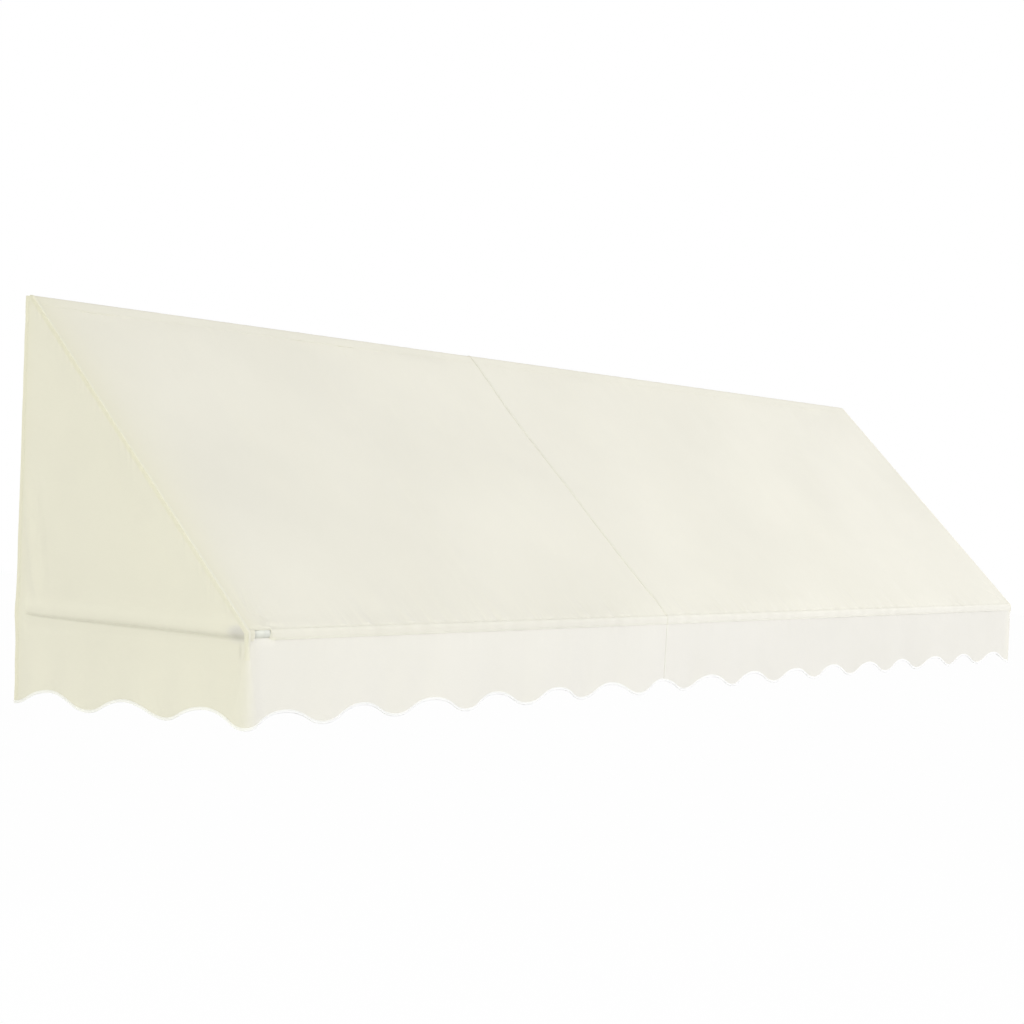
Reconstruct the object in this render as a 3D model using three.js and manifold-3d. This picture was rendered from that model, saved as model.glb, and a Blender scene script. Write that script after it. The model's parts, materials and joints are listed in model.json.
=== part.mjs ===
// Bistro awning: a cream cloth canopy with closed ends and a scalloped valance, stretched over
// a frame of light steel tube that is fixed to a wall.
//
// Millimetres. +X runs along the front, +Y points into the wall, +Z is up. The origin is on the
// wall, behind the middle of the top rail. Left and right are those of someone facing the wall.
// Many sections are drawn in the plane (u, v): u is the distance out from the wall, v is up.

import * as THREE from "three";
import { mergeVertices } from "three/addons/utils/BufferGeometryUtils.js";
import Module from "manifold-3d";

const wasm = await Module();
wasm.setup();

// Driving dimensions of the whole awning
const WIDTH = 4000; // across the outside of the two wings
const PROJECTION = 720; // from the wall to the front rail's axis
const DROP = 720; // from the top rail's axis down to the front rail's axis
const VALANCE = 200; // from the front rail's axis down to the tips of the scallops
const SEAM_FROM_LEFT = 1640; // the first width of cloth, up to the seam with the second

// Cloth
const CLOTH = 2; // thickness that stands for cloth, hem and coating
const FRONT_SCALLOPS = 16;
const WING_SCALLOPS = 3;
const SCALLOP_DEPTH = 32;
const TIP_SHARE = 0.4; // share of a scallop's pitch that bulges down, the rest arches up
const SCALLOP_STEPS = 10; // straight steps along one pitch
const EDGING = 7; // height of the white tape on the scallops
const EDGING_THICKNESS = 3;
const TOP_BAND = 25; // sewn band of the top sleeve, down the slope to its stitch line
const FRONT_BAND = 8; // sewn band of the front pocket, up the slope to its stitch line
const FRONT_TAIL = 14; // from the front rail's axis down to the pocket's lower stitch line
const POCKET_FROM_CORNER = 70; // the front pocket stops short of the corner
const SEAM_STRIP = 10; // width of the folded seam along the diagonal
const SEAM_STRIP_DROP = 55; // how far that seam runs down the corner
const WALL_GAP = 3; // from the wall to the wings' hem

// Tube, the same for rails and arms
const TUBE_RADIUS = 11;
const TUBE_WALL = 1.2;
const BORE_RADIUS = TUBE_RADIUS - TUBE_WALL;
const SPIGOT_RADIUS = BORE_RADIUS - 0.4;
const TUBE_SIDES = 32;
const GAP = 0.3; // between pieces that touch

// Frame
const RAIL_STANDOFF = 18; // from the wall to the top rail's axis
const ARM_INSET = 16; // from a wing's outer face to its arm's axis
const RAIL_END_INSET = 7; // from a wing's outer face to the end of the top rail
const RAIL_LENGTHS = 3; // each rail comes in three lengths of tube
const JOINT_SLEEVE_LENGTH = 140;
const JOINT_SLEEVE_RADIUS = SPIGOT_RADIUS;
const CAP_THICKNESS = 3;
const CAP_SPIGOT = 14;
const CAP_EDGE = 1;

// Corner elbow
const ELBOW_LEG = 36; // from the corner to the shoulder where the tube starts
const ELBOW_BEND = 22; // radius of the bend, at its centre line
const ELBOW_SPIGOT = 45;
const ELBOW_WEB = 5; // thickness of the web inside the bend
const WEB_SETBACK = 3; // from the shoulders back to the web's ends
const ELBOW_SCREW_FROM_SHOULDER = 9;
const SPIGOT_LEAD = 2; // chamfer at a spigot's tip

// Bracket for the top rail
const BRACKET_WIDTH = 40;
const BRACKET_TAIL = 78; // from the rail's axis down to the bracket's foot
const BRACKET_PLATE = 4;
const BRACKET_HEAD = 12; // from the rail's axis up to the bracket's top edge
const BRACKET_SHOULDER = 10.5; // how far the top edge reaches from the wall
const BRACKET_CORNER = 8; // radius of its two lower corners
const GUSSET_FOOT = -26; // where the web under the cradle meets the plate
const CRADLE_BACK = 125; // degrees round the rail where the cradle starts, at the wall
const CRADLE_LIP = 310; // and where it ends, in front
const CRADLE_WEB = 235; // and where the web leaves it
const BOSS_RADIUS = 6.5;
const BOSS_HEIGHT = 5;
const CRADLE_INNER = TUBE_RADIUS + GAP;
const CRADLE_OUTER = CRADLE_INNER + 3.5;
const BRACKET_HOLES = [-40, -64]; // heights of the wall screws' holes
const BRACKET_HOLE_RADIUS = 2.8;
const END_BRACKET_INSET = 100; // from a wing's outer face to the end brackets' middle
const WINDOW_WIDTH = 50; // opening in the sleeve round each bracket
const WINDOW_BACK = 105; // degrees round the rail where that opening starts
const WINDOW_FRONT = -35; // and where it ends

// Bracket for an arm
const SOCKET_RADIUS = 13.5;
const SOCKET_LENGTH = 34;
const SOCKET_BORE = TUBE_RADIUS + GAP;
const ARM_PLATE_REACH = 62; // from the arm's axis inwards
const ARM_PLATE_HEIGHT = 48;
const ARM_PLATE = 4;
const ARM_PLATE_CORNER = 9;
const RIB_THICKNESS = 5;
const RIB_FROM_MOUTH = 6; // from the socket's mouth back to the rib
const RIB_FROM_EDGE = 8; // from the rib's foot to the plate's inner edge
const ARM_HOLE_FROM_AXIS = 42;
const ARM_HOLE_SPACING = 26;
const ARM_HOLE_RADIUS = 3.2;
const SET_SCREW_FROM_WALL = 20;
const SET_SCREW_RADIUS = 3;
const SET_SCREW_LENGTH = 8;
const SET_SCREW_BOSS = 5.5;
const SET_SCREW_KEY = 1.7; // radius across the corners of its hexagon socket

// Webbing loop round each arm
const TIE_WIDTH = 20;
const TIE_THICKNESS = 1.5;
const TIE_FROM_WALL = 44;

// Derived places
const HALF = WIDTH / 2;
const SEAM_X = -HALF + SEAM_FROM_LEFT;
const CLOTH_INNER = TUBE_RADIUS + 0.5; // radius of the cloth's inner face round a tube
const CLOTH_OUTER = CLOTH_INNER + CLOTH;
const CLOTH_END = HALF - CLOTH - GAP; // where roof, sleeves and valance meet the wings
const ARM_X = HALF - ARM_INSET;
const TOP = new THREE.Vector2(RAIL_STANDOFF, 0);
const FRONT = new THREE.Vector2(PROJECTION, -DROP);
const SLOPE_LENGTH = TOP.distanceTo(FRONT);
const DOWN_SLOPE = FRONT.clone().sub(TOP).normalize();
const OFF_SLOPE = new THREE.Vector2(-DOWN_SLOPE.y, DOWN_SLOPE.x);
const OFF_ANGLE = Math.atan2(OFF_SLOPE.y, OFF_SLOPE.x);
const LIFT = Math.acos(CLOTH_INNER / CLOTH_OUTER); // where a ring of cloth leaves its band
const TIP_LEVEL = -DROP - VALANCE;
const VALANCE_FACE = PROJECTION + CLOTH_OUTER; // the valance's outer face, as u

const rad = THREE.MathUtils.degToRad;

// A point at `run` down the slope from the top rail's axis and `off` outwards from that line.
function onSlope(run, off) {
  return TOP.clone().addScaledVector(DOWN_SLOPE, run).addScaledVector(OFF_SLOPE, off);
}

function aroundTop(radius, angle) {
  return new THREE.Vector2(TOP.x + radius * Math.cos(angle), TOP.y + radius * Math.sin(angle));
}

function moveTo(shape, point) {
  shape.moveTo(point.x, point.y);
}

function lineTo(shape, point) {
  shape.lineTo(point.x, point.y);
}

// Joining and cutting

function toSolid(geometry) {
  const bare = geometry.clone();
  bare.deleteAttribute("normal");
  bare.deleteAttribute("uv");
  const merged = mergeVertices(bare, 1e-4);
  return new wasm.Manifold(
    new wasm.Mesh({
      numProp: 3,
      vertProperties: merged.attributes.position.array,
      triVerts: new Uint32Array(merged.index.array),
    }),
  );
}

function toGeometry(solid) {
  const mesh = solid.getMesh();
  const geometry = new THREE.BufferGeometry();
  geometry.setAttribute("position", new THREE.BufferAttribute(mesh.vertProperties, 3));
  geometry.setIndex(new THREE.BufferAttribute(mesh.triVerts, 1));
  geometry.computeVertexNormals();
  return geometry;
}

function join(first, ...rest) {
  return toGeometry(rest.reduce((solid, other) => solid.add(toSolid(other)), toSolid(first)));
}

function cut(body, ...tools) {
  return toGeometry(tools.reduce((solid, tool) => solid.subtract(toSolid(tool)), toSolid(body)));
}

function keepInside(body, tool) {
  return toGeometry(toSolid(body).intersect(toSolid(tool)));
}

// Basic forms

function placed(geometry, xAxis, yAxis, zAxis, origin) {
  const basis = new THREE.Matrix4().makeBasis(xAxis, yAxis, zAxis).setPosition(origin);
  return geometry.applyMatrix4(basis);
}

const X = new THREE.Vector3(1, 0, 0);
const Y = new THREE.Vector3(0, 1, 0);
const Z = new THREE.Vector3(0, 0, 1);
const INTO_ROOM = new THREE.Vector3(0, -1, 0);
const DOWNWARDS = new THREE.Vector3(0, 0, -1);

// Extrudes a section drawn in (u, v) along X.
function alongX(section, from, to, curveSegments = 8) {
  const options = { depth: to - from, bevelEnabled: false, curveSegments };
  const geometry = new THREE.ExtrudeGeometry(section, options);
  const origin = new THREE.Vector3(to, 0, 0);
  return placed(geometry, Y.clone().negate(), Z, X.clone().negate(), origin);
}

// Extrudes an outline drawn in (x, z) between two distances from the wall.
function alongY(outline, fromU, toU, curveSegments = 8) {
  const options = { depth: toU - fromU, bevelEnabled: false, curveSegments };
  const geometry = new THREE.ExtrudeGeometry(outline, options);
  return placed(geometry, X, Z, Y.clone().negate(), new THREE.Vector3(0, -fromU, 0));
}

// Turns a profile of [radius, height] pairs about the line through `start` along `axis`.
function turned(profile, start, axis, sides = TUBE_SIDES) {
  const points = profile.map(([radius, height]) => new THREE.Vector2(radius, height));
  const geometry = new THREE.LatheGeometry(points, sides);
  const turn = new THREE.Quaternion().setFromUnitVectors(Y, axis);
  return geometry.applyQuaternion(turn).translate(start.x, start.y, start.z);
}

function rod(radius, length, start, axis, sides = TUBE_SIDES) {
  const profile = [[0, 0], [radius, 0], [radius, length], [0, length]];
  return turned(profile, start, axis, sides);
}

function tube(outer, inner, length, start, axis) {
  const profile = [[inner, 0], [outer, 0], [outer, length], [inner, length], [inner, 0]];
  return turned(profile, start, axis);
}

// Cloth

// Height of the scalloped edge above its tips, at `along` from a tip: a small arc down and a
// wider arc up that meet with one slope.
function scallopHeight(along, pitch) {
  const slope = 2 * Math.atan((2 * SCALLOP_DEPTH) / pitch);
  const tipHalf = (TIP_SHARE * pitch) / 2;
  const tipRadius = tipHalf / Math.sin(slope);
  const archRadius = (pitch / 2 - tipHalf) / Math.sin(slope);
  const fromTip = Math.abs(along - pitch * Math.round(along / pitch));
  if (fromTip <= tipHalf) return tipRadius - Math.sqrt(tipRadius ** 2 - fromTip ** 2);
  const fromArch = pitch / 2 - fromTip;
  return SCALLOP_DEPTH - archRadius + Math.sqrt(archRadius ** 2 - fromArch ** 2);
}

// Points along the scalloped edge from one end to the other, raised by `raise`.
function scallopEdge(from, to, count, raise) {
  const steps = count * SCALLOP_STEPS;
  const length = Math.abs(to - from);
  return Array.from({ length: steps + 1 }, (_, i) => {
    const height = scallopHeight((length * i) / steps, length / count);
    return new THREE.Vector2(from + ((to - from) * i) / steps, TIP_LEVEL + height + raise);
  });
}

function roofPanel(from, to) {
  const topEdge = TOP_BAND + GAP;
  const lowerEdge = SLOPE_LENGTH - FRONT_BAND - GAP;
  const section = new THREE.Shape([
    onSlope(topEdge, CLOTH_OUTER),
    onSlope(topEdge, CLOTH_INNER),
    onSlope(lowerEdge, CLOTH_INNER),
    onSlope(lowerEdge, CLOTH_OUTER),
  ]);
  return alongX(section, from, to);
}

// The sewn sleeve: a ring of cloth round the top rail, with a band down to its stitch line.
function topSleeve(from, to, bracketPlaces) {
  const section = new THREE.Shape();
  moveTo(section, onSlope(TOP_BAND, CLOTH_OUTER));
  lineTo(section, onSlope(0, CLOTH_OUTER));
  section.absarc(TOP.x, TOP.y, CLOTH_OUTER, OFF_ANGLE, OFF_ANGLE + 2 * Math.PI - LIFT, false);
  lineTo(section, onSlope(TOP_BAND, CLOTH_INNER));
  const bore = new THREE.Path();
  bore.absarc(TOP.x, TOP.y, CLOTH_INNER, 0, 2 * Math.PI, true);
  section.holes.push(bore);
  return cut(alongX(section, from, to, 10), ...bracketPlaces.map(sleeveWindow));
}

// The opening that lets a bracket reach the rail from behind and below.
function sleeveWindow(x) {
  const beyond = 3 * CLOTH_OUTER;
  const wedge = new THREE.Shape([
    TOP,
    aroundTop(beyond, rad(WINDOW_BACK)),
    new THREE.Vector2(-beyond, beyond),
    new THREE.Vector2(-beyond, -beyond),
    new THREE.Vector2(TOP.x, -beyond),
    aroundTop(beyond, rad(WINDOW_FRONT)),
  ]);
  return alongX(wedge, x - WINDOW_WIDTH / 2, x + WINDOW_WIDTH / 2);
}

// The sewn pocket: a ring of cloth round the front rail, a band up to the roof's stitch line
// and a tail down to the valance's.
function frontPocket(from, to) {
  const tailFoot = FRONT.y - FRONT_TAIL;
  const section = new THREE.Shape();
  moveTo(section, onSlope(SLOPE_LENGTH - FRONT_BAND, CLOTH_OUTER));
  lineTo(section, onSlope(SLOPE_LENGTH, CLOTH_OUTER));
  section.absarc(FRONT.x, FRONT.y, CLOTH_OUTER, OFF_ANGLE, 0, true);
  section.lineTo(VALANCE_FACE, tailFoot);
  section.lineTo(VALANCE_FACE - CLOTH, tailFoot);
  section.absarc(FRONT.x, FRONT.y, CLOTH_OUTER, -LIFT, OFF_ANGLE + LIFT, true);
  lineTo(section, onSlope(SLOPE_LENGTH - FRONT_BAND, CLOTH_INNER));
  const bore = new THREE.Path();
  bore.absarc(FRONT.x, FRONT.y, CLOTH_INNER, 0, 2 * Math.PI, false);
  section.holes.push(bore);
  return alongX(section, from, to, 10);
}

// A slab round the valance, to keep the stretch between two places along the front.
function slabBetween(from, to) {
  const shape = new THREE.Shape([
    new THREE.Vector2(from, TIP_LEVEL - 1),
    new THREE.Vector2(to, TIP_LEVEL - 1),
    new THREE.Vector2(to, -DROP),
    new THREE.Vector2(from, -DROP),
  ]);
  return alongY(shape, PROJECTION, PROJECTION + 2 * CLOTH_OUTER);
}

function frontValance(from, to) {
  const edge = scallopEdge(-HALF, HALF, FRONT_SCALLOPS, EDGING);
  const top = -DROP - FRONT_TAIL - GAP;
  const outline = new THREE.Shape([
    ...edge,
    new THREE.Vector2(HALF, top),
    new THREE.Vector2(-HALF, top),
  ]);
  const whole = alongY(outline, VALANCE_FACE - CLOTH, VALANCE_FACE);
  return keepInside(whole, slabBetween(from, to));
}

function tapeOutline(from, to, count) {
  const lower = scallopEdge(from, to, count, 0);
  const upper = scallopEdge(from, to, count, EDGING - GAP).reverse();
  return new THREE.Shape([...lower, ...upper]);
}

function frontEdging(from, to) {
  const inner = VALANCE_FACE - (CLOTH + EDGING_THICKNESS) / 2;
  const whole = alongY(tapeOutline(-HALF, HALF, FRONT_SCALLOPS), inner, inner + EDGING_THICKNESS);
  return keepInside(whole, slabBetween(from, to));
}

// The left wing: the triangle between wall, roof and arm, with its scalloped strip below.
function wing() {
  const outline = new THREE.Shape();
  outline.moveTo(WALL_GAP, CLOTH_OUTER);
  outline.lineTo(TOP.x, CLOTH_OUTER);
  outline.absarc(TOP.x, TOP.y, CLOTH_OUTER, rad(90), OFF_ANGLE, true);
  outline.absarc(FRONT.x, FRONT.y, CLOTH_OUTER, OFF_ANGLE, 0, true);
  for (const point of scallopEdge(VALANCE_FACE, WALL_GAP, WING_SCALLOPS, EDGING)) {
    lineTo(outline, point);
  }
  return alongX(outline, -HALF, -HALF + CLOTH, 4);
}

function wingEdging() {
  const overhang = (EDGING_THICKNESS - CLOTH) / 2;
  const outline = tapeOutline(WALL_GAP, VALANCE_FACE + overhang, WING_SCALLOPS);
  return alongX(outline, -HALF - overhang, -HALF + CLOTH + overhang - GAP);
}

// The folded seam of the left end: over the top rail, down the diagonal, round the corner.
function sideSeam() {
  const inner = CLOTH_OUTER - SEAM_STRIP;
  const foot = FRONT.y - SEAM_STRIP_DROP;
  const strip = new THREE.Shape();
  strip.absarc(TOP.x, TOP.y, CLOTH_OUTER, rad(90), OFF_ANGLE, true);
  strip.absarc(FRONT.x, FRONT.y, CLOTH_OUTER, OFF_ANGLE, 0, true);
  strip.lineTo(FRONT.x + CLOTH_OUTER, foot);
  strip.lineTo(FRONT.x + inner, foot);
  strip.absarc(FRONT.x, FRONT.y, inner, 0, OFF_ANGLE, false);
  strip.absarc(TOP.x, TOP.y, inner, OFF_ANGLE, rad(90), false);
  return alongX(strip, -HALF - GAP - CLOTH, -HALF - GAP, 4);
}

// A loop of webbing round the left arm, with a tab against the wing.
function wingTie() {
  const outer = CLOTH_INNER + TIE_THICKNESS;
  const wingFace = -HALF + CLOTH + GAP;
  const ring = new THREE.Shape();
  ring.absarc(-ARM_X, -DROP, outer, 0, 2 * Math.PI, false);
  const bore = new THREE.Path();
  bore.absarc(-ARM_X, -DROP, CLOTH_INNER, 0, 2 * Math.PI, true);
  ring.holes.push(bore);
  const tab = new THREE.Shape([
    new THREE.Vector2(wingFace, -DROP - TIE_WIDTH),
    new THREE.Vector2(wingFace + TIE_THICKNESS, -DROP - TIE_WIDTH),
    new THREE.Vector2(wingFace + TIE_THICKNESS, -DROP + TIE_WIDTH),
    new THREE.Vector2(wingFace, -DROP + TIE_WIDTH),
  ]);
  const to = TIE_FROM_WALL + TIE_WIDTH;
  return join(alongY(ring, TIE_FROM_WALL, to, 10), alongY(tab, TIE_FROM_WALL, to));
}

// Tubes

// One length of a rail along X at (u, v), with screw holes in its underside.
function railLength(from, to, place, holes = []) {
  const start = new THREE.Vector3(from, -place.x, place.y);
  const body = tube(TUBE_RADIUS, BORE_RADIUS, to - from, start, X);
  return holes.length ? cut(body, ...holes.map(([x, radius]) => underHole(x, place, radius))) : body;
}

function underHole(x, place, radius) {
  const start = new THREE.Vector3(x, -place.x, place.y);
  return rod(radius, TUBE_RADIUS + 2, start, DOWNWARDS, 12);
}

function jointSleeve(x, place) {
  const start = new THREE.Vector3(x - JOINT_SLEEVE_LENGTH / 2, -place.x, place.y);
  const inner = JOINT_SLEEVE_RADIUS - TUBE_WALL;
  return tube(JOINT_SLEEVE_RADIUS, inner, JOINT_SLEEVE_LENGTH, start, X);
}

// The plug in the left end of the top rail, turned about X.
function railCap() {
  const length = CAP_THICKNESS + CAP_SPIGOT;
  const profile = [
    [0, 0],
    [TUBE_RADIUS - CAP_EDGE, 0],
    [TUBE_RADIUS, CAP_EDGE],
    [TUBE_RADIUS, CAP_THICKNESS],
    [SPIGOT_RADIUS, CAP_THICKNESS],
    [SPIGOT_RADIUS, length - CAP_EDGE],
    [SPIGOT_RADIUS - CAP_EDGE, length],
    [0, length],
  ];
  const x = -HALF + RAIL_END_INSET - CAP_THICKNESS - GAP;
  return join(turned(profile, new THREE.Vector3(x, -TOP.x, TOP.y), X));
}

// The left arm, from the bottom of its socket to the elbow's shoulder.
function arm() {
  const start = -(ARM_PLATE + GAP);
  const end = -(PROJECTION - ELBOW_LEG - GAP);
  const place = new THREE.Vector3(-ARM_X, start, -DROP);
  const body = tube(TUBE_RADIUS, BORE_RADIUS, start - end, place, INTO_ROOM);
  return cut(body, elbowScrewHole(elbowScrewPlaces()[1], TUBE_RADIUS + 2));
}

// Corner elbow

// The elbow's centre line: in along the front rail, round the bend, back along the arm.
class ElbowLine extends THREE.Curve {
  getPoint(t, target = new THREE.Vector3()) {
    const straight = ELBOW_LEG - ELBOW_BEND;
    const bend = (ELBOW_BEND * Math.PI) / 2;
    const run = t * (2 * straight + bend);
    if (run < straight) return target.set(ELBOW_LEG - run, 0, 0);
    if (run > straight + bend) return target.set(0, ELBOW_BEND + run - straight - bend, 0);
    const angle = (run - straight) / ELBOW_BEND;
    const x = ELBOW_BEND * (1 - Math.sin(angle));
    return target.set(x, ELBOW_BEND * (1 - Math.cos(angle)), 0);
  }
}

function atCorner(geometry) {
  return geometry.translate(-ARM_X, -PROJECTION, -DROP);
}

function elbow() {
  const circle = new THREE.Shape();
  circle.absarc(0, 0, TUBE_RADIUS, 0, 2 * Math.PI, false);
  const path = new ElbowLine();
  const options = { steps: 16, extrudePath: path, bevelEnabled: false, curveSegments: 16 };
  const bend = atCorner(new THREE.ExtrudeGeometry(circle, options));
  const spigots = [X, Y].map((axis) => atCorner(elbowSpigot(axis)));
  const holes = elbowScrewPlaces().map((place) => elbowScrewHole(place, TUBE_RADIUS));
  return cut(join(bend, ...spigots, elbowWeb()), ...holes);
}

function elbowSpigot(axis) {
  const overlap = 1;
  const length = ELBOW_SPIGOT + overlap;
  const profile = [
    [0, 0],
    [SPIGOT_RADIUS, 0],
    [SPIGOT_RADIUS, length - SPIGOT_LEAD],
    [SPIGOT_RADIUS - SPIGOT_LEAD, length],
    [0, length],
  ];
  return turned(profile, axis.clone().multiplyScalar(ELBOW_LEG - overlap), axis, 32);
}

// A thin web that fills the inside of the bend, rooted inside both legs.
function elbowWeb() {
  const near = 0.7 * TUBE_RADIUS;
  const far = ELBOW_LEG - WEB_SETBACK;
  const outline = new THREE.Shape([
    new THREE.Vector2(near, near),
    new THREE.Vector2(far, near),
    new THREE.Vector2(near, far),
  ]);
  const options = { depth: ELBOW_WEB, bevelEnabled: false };
  const web = new THREE.ExtrudeGeometry(outline, options).translate(0, 0, -ELBOW_WEB / 2);
  return atCorner(web);
}

// The left elbow's screws, in the front rail and in the arm.
function elbowScrewPlaces() {
  const fromCorner = ELBOW_LEG + GAP + ELBOW_SCREW_FROM_SHOULDER;
  return [
    new THREE.Vector3(-ARM_X + fromCorner, -PROJECTION, -DROP),
    new THREE.Vector3(-ARM_X, -PROJECTION + fromCorner, -DROP),
  ];
}

const SELF_TAPPER = { head: 3.6, headHeight: 2.4, shank: 1.75, length: 9, point: 1.5 };
const RAIL_SCREW = { head: 4.6, headHeight: 3, shank: 2.5, length: 14, point: 1.5 };

function elbowScrewHole(place, depth) {
  return rod(SELF_TAPPER.shank + GAP, depth, place, DOWNWARDS, 12);
}

// A pan-head screw driven upwards, its head's seat at `seat`, with a cross recess.
function panScrew(size, seat) {
  const dome = 0.45 * size.headHeight;
  const tip = size.headHeight + size.length;
  const profile = [
    [0, 0],
    [size.head - dome, 0],
    [size.head - 0.25 * dome, 0.4 * dome],
    [size.head, 1.3 * dome],
    [size.head, size.headHeight],
    [size.shank, size.headHeight],
    [size.shank, tip - size.point],
    [0, tip],
  ];
  const start = seat.clone().setZ(seat.z - size.headHeight);
  const arms = [
    new THREE.BoxGeometry(1.1 * size.head, 0.28 * size.head, size.headHeight),
    new THREE.BoxGeometry(0.28 * size.head, 1.1 * size.head, size.headHeight),
  ];
  const recess = arms.map((bar) => bar.translate(start.x, start.y, start.z));
  return cut(turned(profile, start, Z, 16), ...recess);
}

function elbowScrew(place) {
  return panScrew(SELF_TAPPER, place.clone().setZ(-DROP - TUBE_RADIUS - GAP));
}

// Brackets for the top rail

const BOSS_FOOT = -(CRADLE_OUTER + 3);

function railBracket(x) {
  const section = new THREE.Shape();
  section.moveTo(0, BRACKET_HEAD);
  section.lineTo(BRACKET_SHOULDER, BRACKET_HEAD);
  section.absarc(TOP.x, TOP.y, CRADLE_INNER, rad(CRADLE_BACK), rad(CRADLE_LIP), false);
  section.absarc(TOP.x, TOP.y, CRADLE_OUTER, rad(CRADLE_LIP), rad(CRADLE_WEB), true);
  section.lineTo(BRACKET_PLATE, GUSSET_FOOT);
  section.lineTo(BRACKET_PLATE, -BRACKET_TAIL);
  section.lineTo(0, -BRACKET_TAIL);
  const left = x - BRACKET_WIDTH / 2;
  const right = x + BRACKET_WIDTH / 2;
  const body = alongX(section, left, right, 10);
  const face = roundedOutline(left, right, -BRACKET_TAIL, BRACKET_HEAD, BRACKET_CORNER);
  const farOut = TOP.x + 2 * CRADLE_OUTER;
  const rounded = keepInside(body, alongY(face, -1, farOut, 4));
  const foot = new THREE.Vector3(x, -TOP.x, BOSS_FOOT);
  const boss = rod(BOSS_RADIUS, BOSS_HEIGHT, foot, Z, 16);
  const below = foot.clone().setZ(BOSS_FOOT - 1);
  const screwHole = rod(RAIL_SCREW.shank + GAP, CRADLE_OUTER, below, Z, 12);
  const behind = new THREE.Vector3(x, 1, 0);
  const wallHoles = BRACKET_HOLES.map((z) => {
    const start = behind.clone().setZ(z);
    return rod(BRACKET_HOLE_RADIUS, BRACKET_PLATE + 2, start, INTO_ROOM, 16);
  });
  return cut(join(rounded, boss), screwHole, ...wallHoles);
}

// A rectangle in (x, z) with rounded lower corners.
function roundedOutline(left, right, bottom, top, radius) {
  const outline = new THREE.Shape();
  outline.absarc(left + radius, bottom + radius, radius, Math.PI, 1.5 * Math.PI, false);
  outline.absarc(right - radius, bottom + radius, radius, 1.5 * Math.PI, 2 * Math.PI, false);
  outline.lineTo(right, top);
  outline.lineTo(left, top);
  return outline;
}

function railScrew(x) {
  return panScrew(RAIL_SCREW, new THREE.Vector3(x, -TOP.x, BOSS_FOOT - GAP));
}

// Bracket for the left arm: a wall plate that reaches inwards, with a socket and a rib.
function armBracket() {
  const wall = new THREE.Vector3(-ARM_X, 0, -DROP);
  const plate = alongY(armPlateOutline(), 0, ARM_PLATE, 4);
  const socket = rod(SOCKET_RADIUS, SOCKET_LENGTH, wall, INTO_ROOM);
  const screwLine = wall.clone().setY(-SET_SCREW_FROM_WALL);
  const bossFoot = SOCKET_RADIUS + SET_SCREW_BOSS;
  const boss = rod(SET_SCREW_BOSS, bossFoot, screwLine, DOWNWARDS, 16);
  const bore = rod(SOCKET_BORE, SOCKET_LENGTH, wall.clone().setY(-ARM_PLATE), INTO_ROOM);
  const setHole = rod(SET_SCREW_RADIUS + GAP, bossFoot + 1, screwLine, DOWNWARDS, 12);
  const wallHoles = [-1, 1].map((side) => {
    const z = -DROP + (side * ARM_HOLE_SPACING) / 2;
    const start = new THREE.Vector3(-ARM_X + ARM_HOLE_FROM_AXIS, 1, z);
    return rod(ARM_HOLE_RADIUS, ARM_PLATE + 2, start, INTO_ROOM, 16);
  });
  return cut(join(plate, socket, armRib(), boss), bore, setHole, ...wallHoles);
}

// The rib that stiffens the socket against its plate.
function armRib() {
  const inPlate = -ARM_PLATE / 2;
  const mouth = -(SOCKET_LENGTH - RIB_FROM_MOUTH);
  const outline = new THREE.Shape([
    new THREE.Vector2(SOCKET_BORE + 0.5, inPlate),
    new THREE.Vector2(SOCKET_BORE + 0.5, mouth),
    new THREE.Vector2(SOCKET_RADIUS + 1, mouth),
    new THREE.Vector2(ARM_PLATE_REACH - RIB_FROM_EDGE, inPlate),
  ]);
  const rib = new THREE.ExtrudeGeometry(outline, { depth: RIB_THICKNESS, bevelEnabled: false });
  return rib.translate(-ARM_X, 0, -DROP - RIB_THICKNESS / 2);
}

function armPlateOutline() {
  const left = -ARM_X - SOCKET_RADIUS;
  const right = -ARM_X + ARM_PLATE_REACH;
  const bottom = -DROP - ARM_PLATE_HEIGHT / 2;
  const top = -DROP + ARM_PLATE_HEIGHT / 2;
  const r = ARM_PLATE_CORNER;
  const outline = new THREE.Shape();
  outline.absarc(left + r, bottom + r, r, Math.PI, 1.5 * Math.PI, false);
  outline.absarc(right - r, bottom + r, r, 1.5 * Math.PI, 2 * Math.PI, false);
  outline.absarc(right - r, top - r, r, 0, 0.5 * Math.PI, false);
  outline.absarc(left + r, top - r, r, 0.5 * Math.PI, Math.PI, false);
  return outline;
}

// The grub screw that locks the left arm from below, with a hexagon socket.
function armSetScrew() {
  const top = -DROP - TUBE_RADIUS - GAP;
  const foot = new THREE.Vector3(-ARM_X, -SET_SCREW_FROM_WALL, top - SET_SCREW_LENGTH);
  const chamfer = 0.6;
  const profile = [
    [0, 0],
    [SET_SCREW_RADIUS - chamfer, 0],
    [SET_SCREW_RADIUS, chamfer],
    [SET_SCREW_RADIUS, SET_SCREW_LENGTH - chamfer],
    [SET_SCREW_RADIUS - chamfer, SET_SCREW_LENGTH],
    [0, SET_SCREW_LENGTH],
  ];
  const below = foot.clone().setZ(foot.z - 1);
  const key = rod(SET_SCREW_KEY, SET_SCREW_LENGTH / 2, below, Z, 6);
  return cut(turned(profile, foot, Z, 16), key);
}

// Materials

const finish = (color, roughness, metalness = 0) =>
  new THREE.MeshStandardMaterial({ color, roughness, metalness });
const CLOTH_FINISH = () => finish(0xebe8d8, 0.9);
const TAPE_FINISH = () => finish(0xf7f7f5, 0.9);
const TUBE_FINISH = () => finish(0xd7d8d2, 0.4, 0.2);
const FITTING_FINISH = () => finish(0xc9cbc5, 0.5);
const SCREW_FINISH = () => finish(0xb9bcc0, 0.3, 1);

// Assembly

const awning = new THREE.Group();

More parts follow.
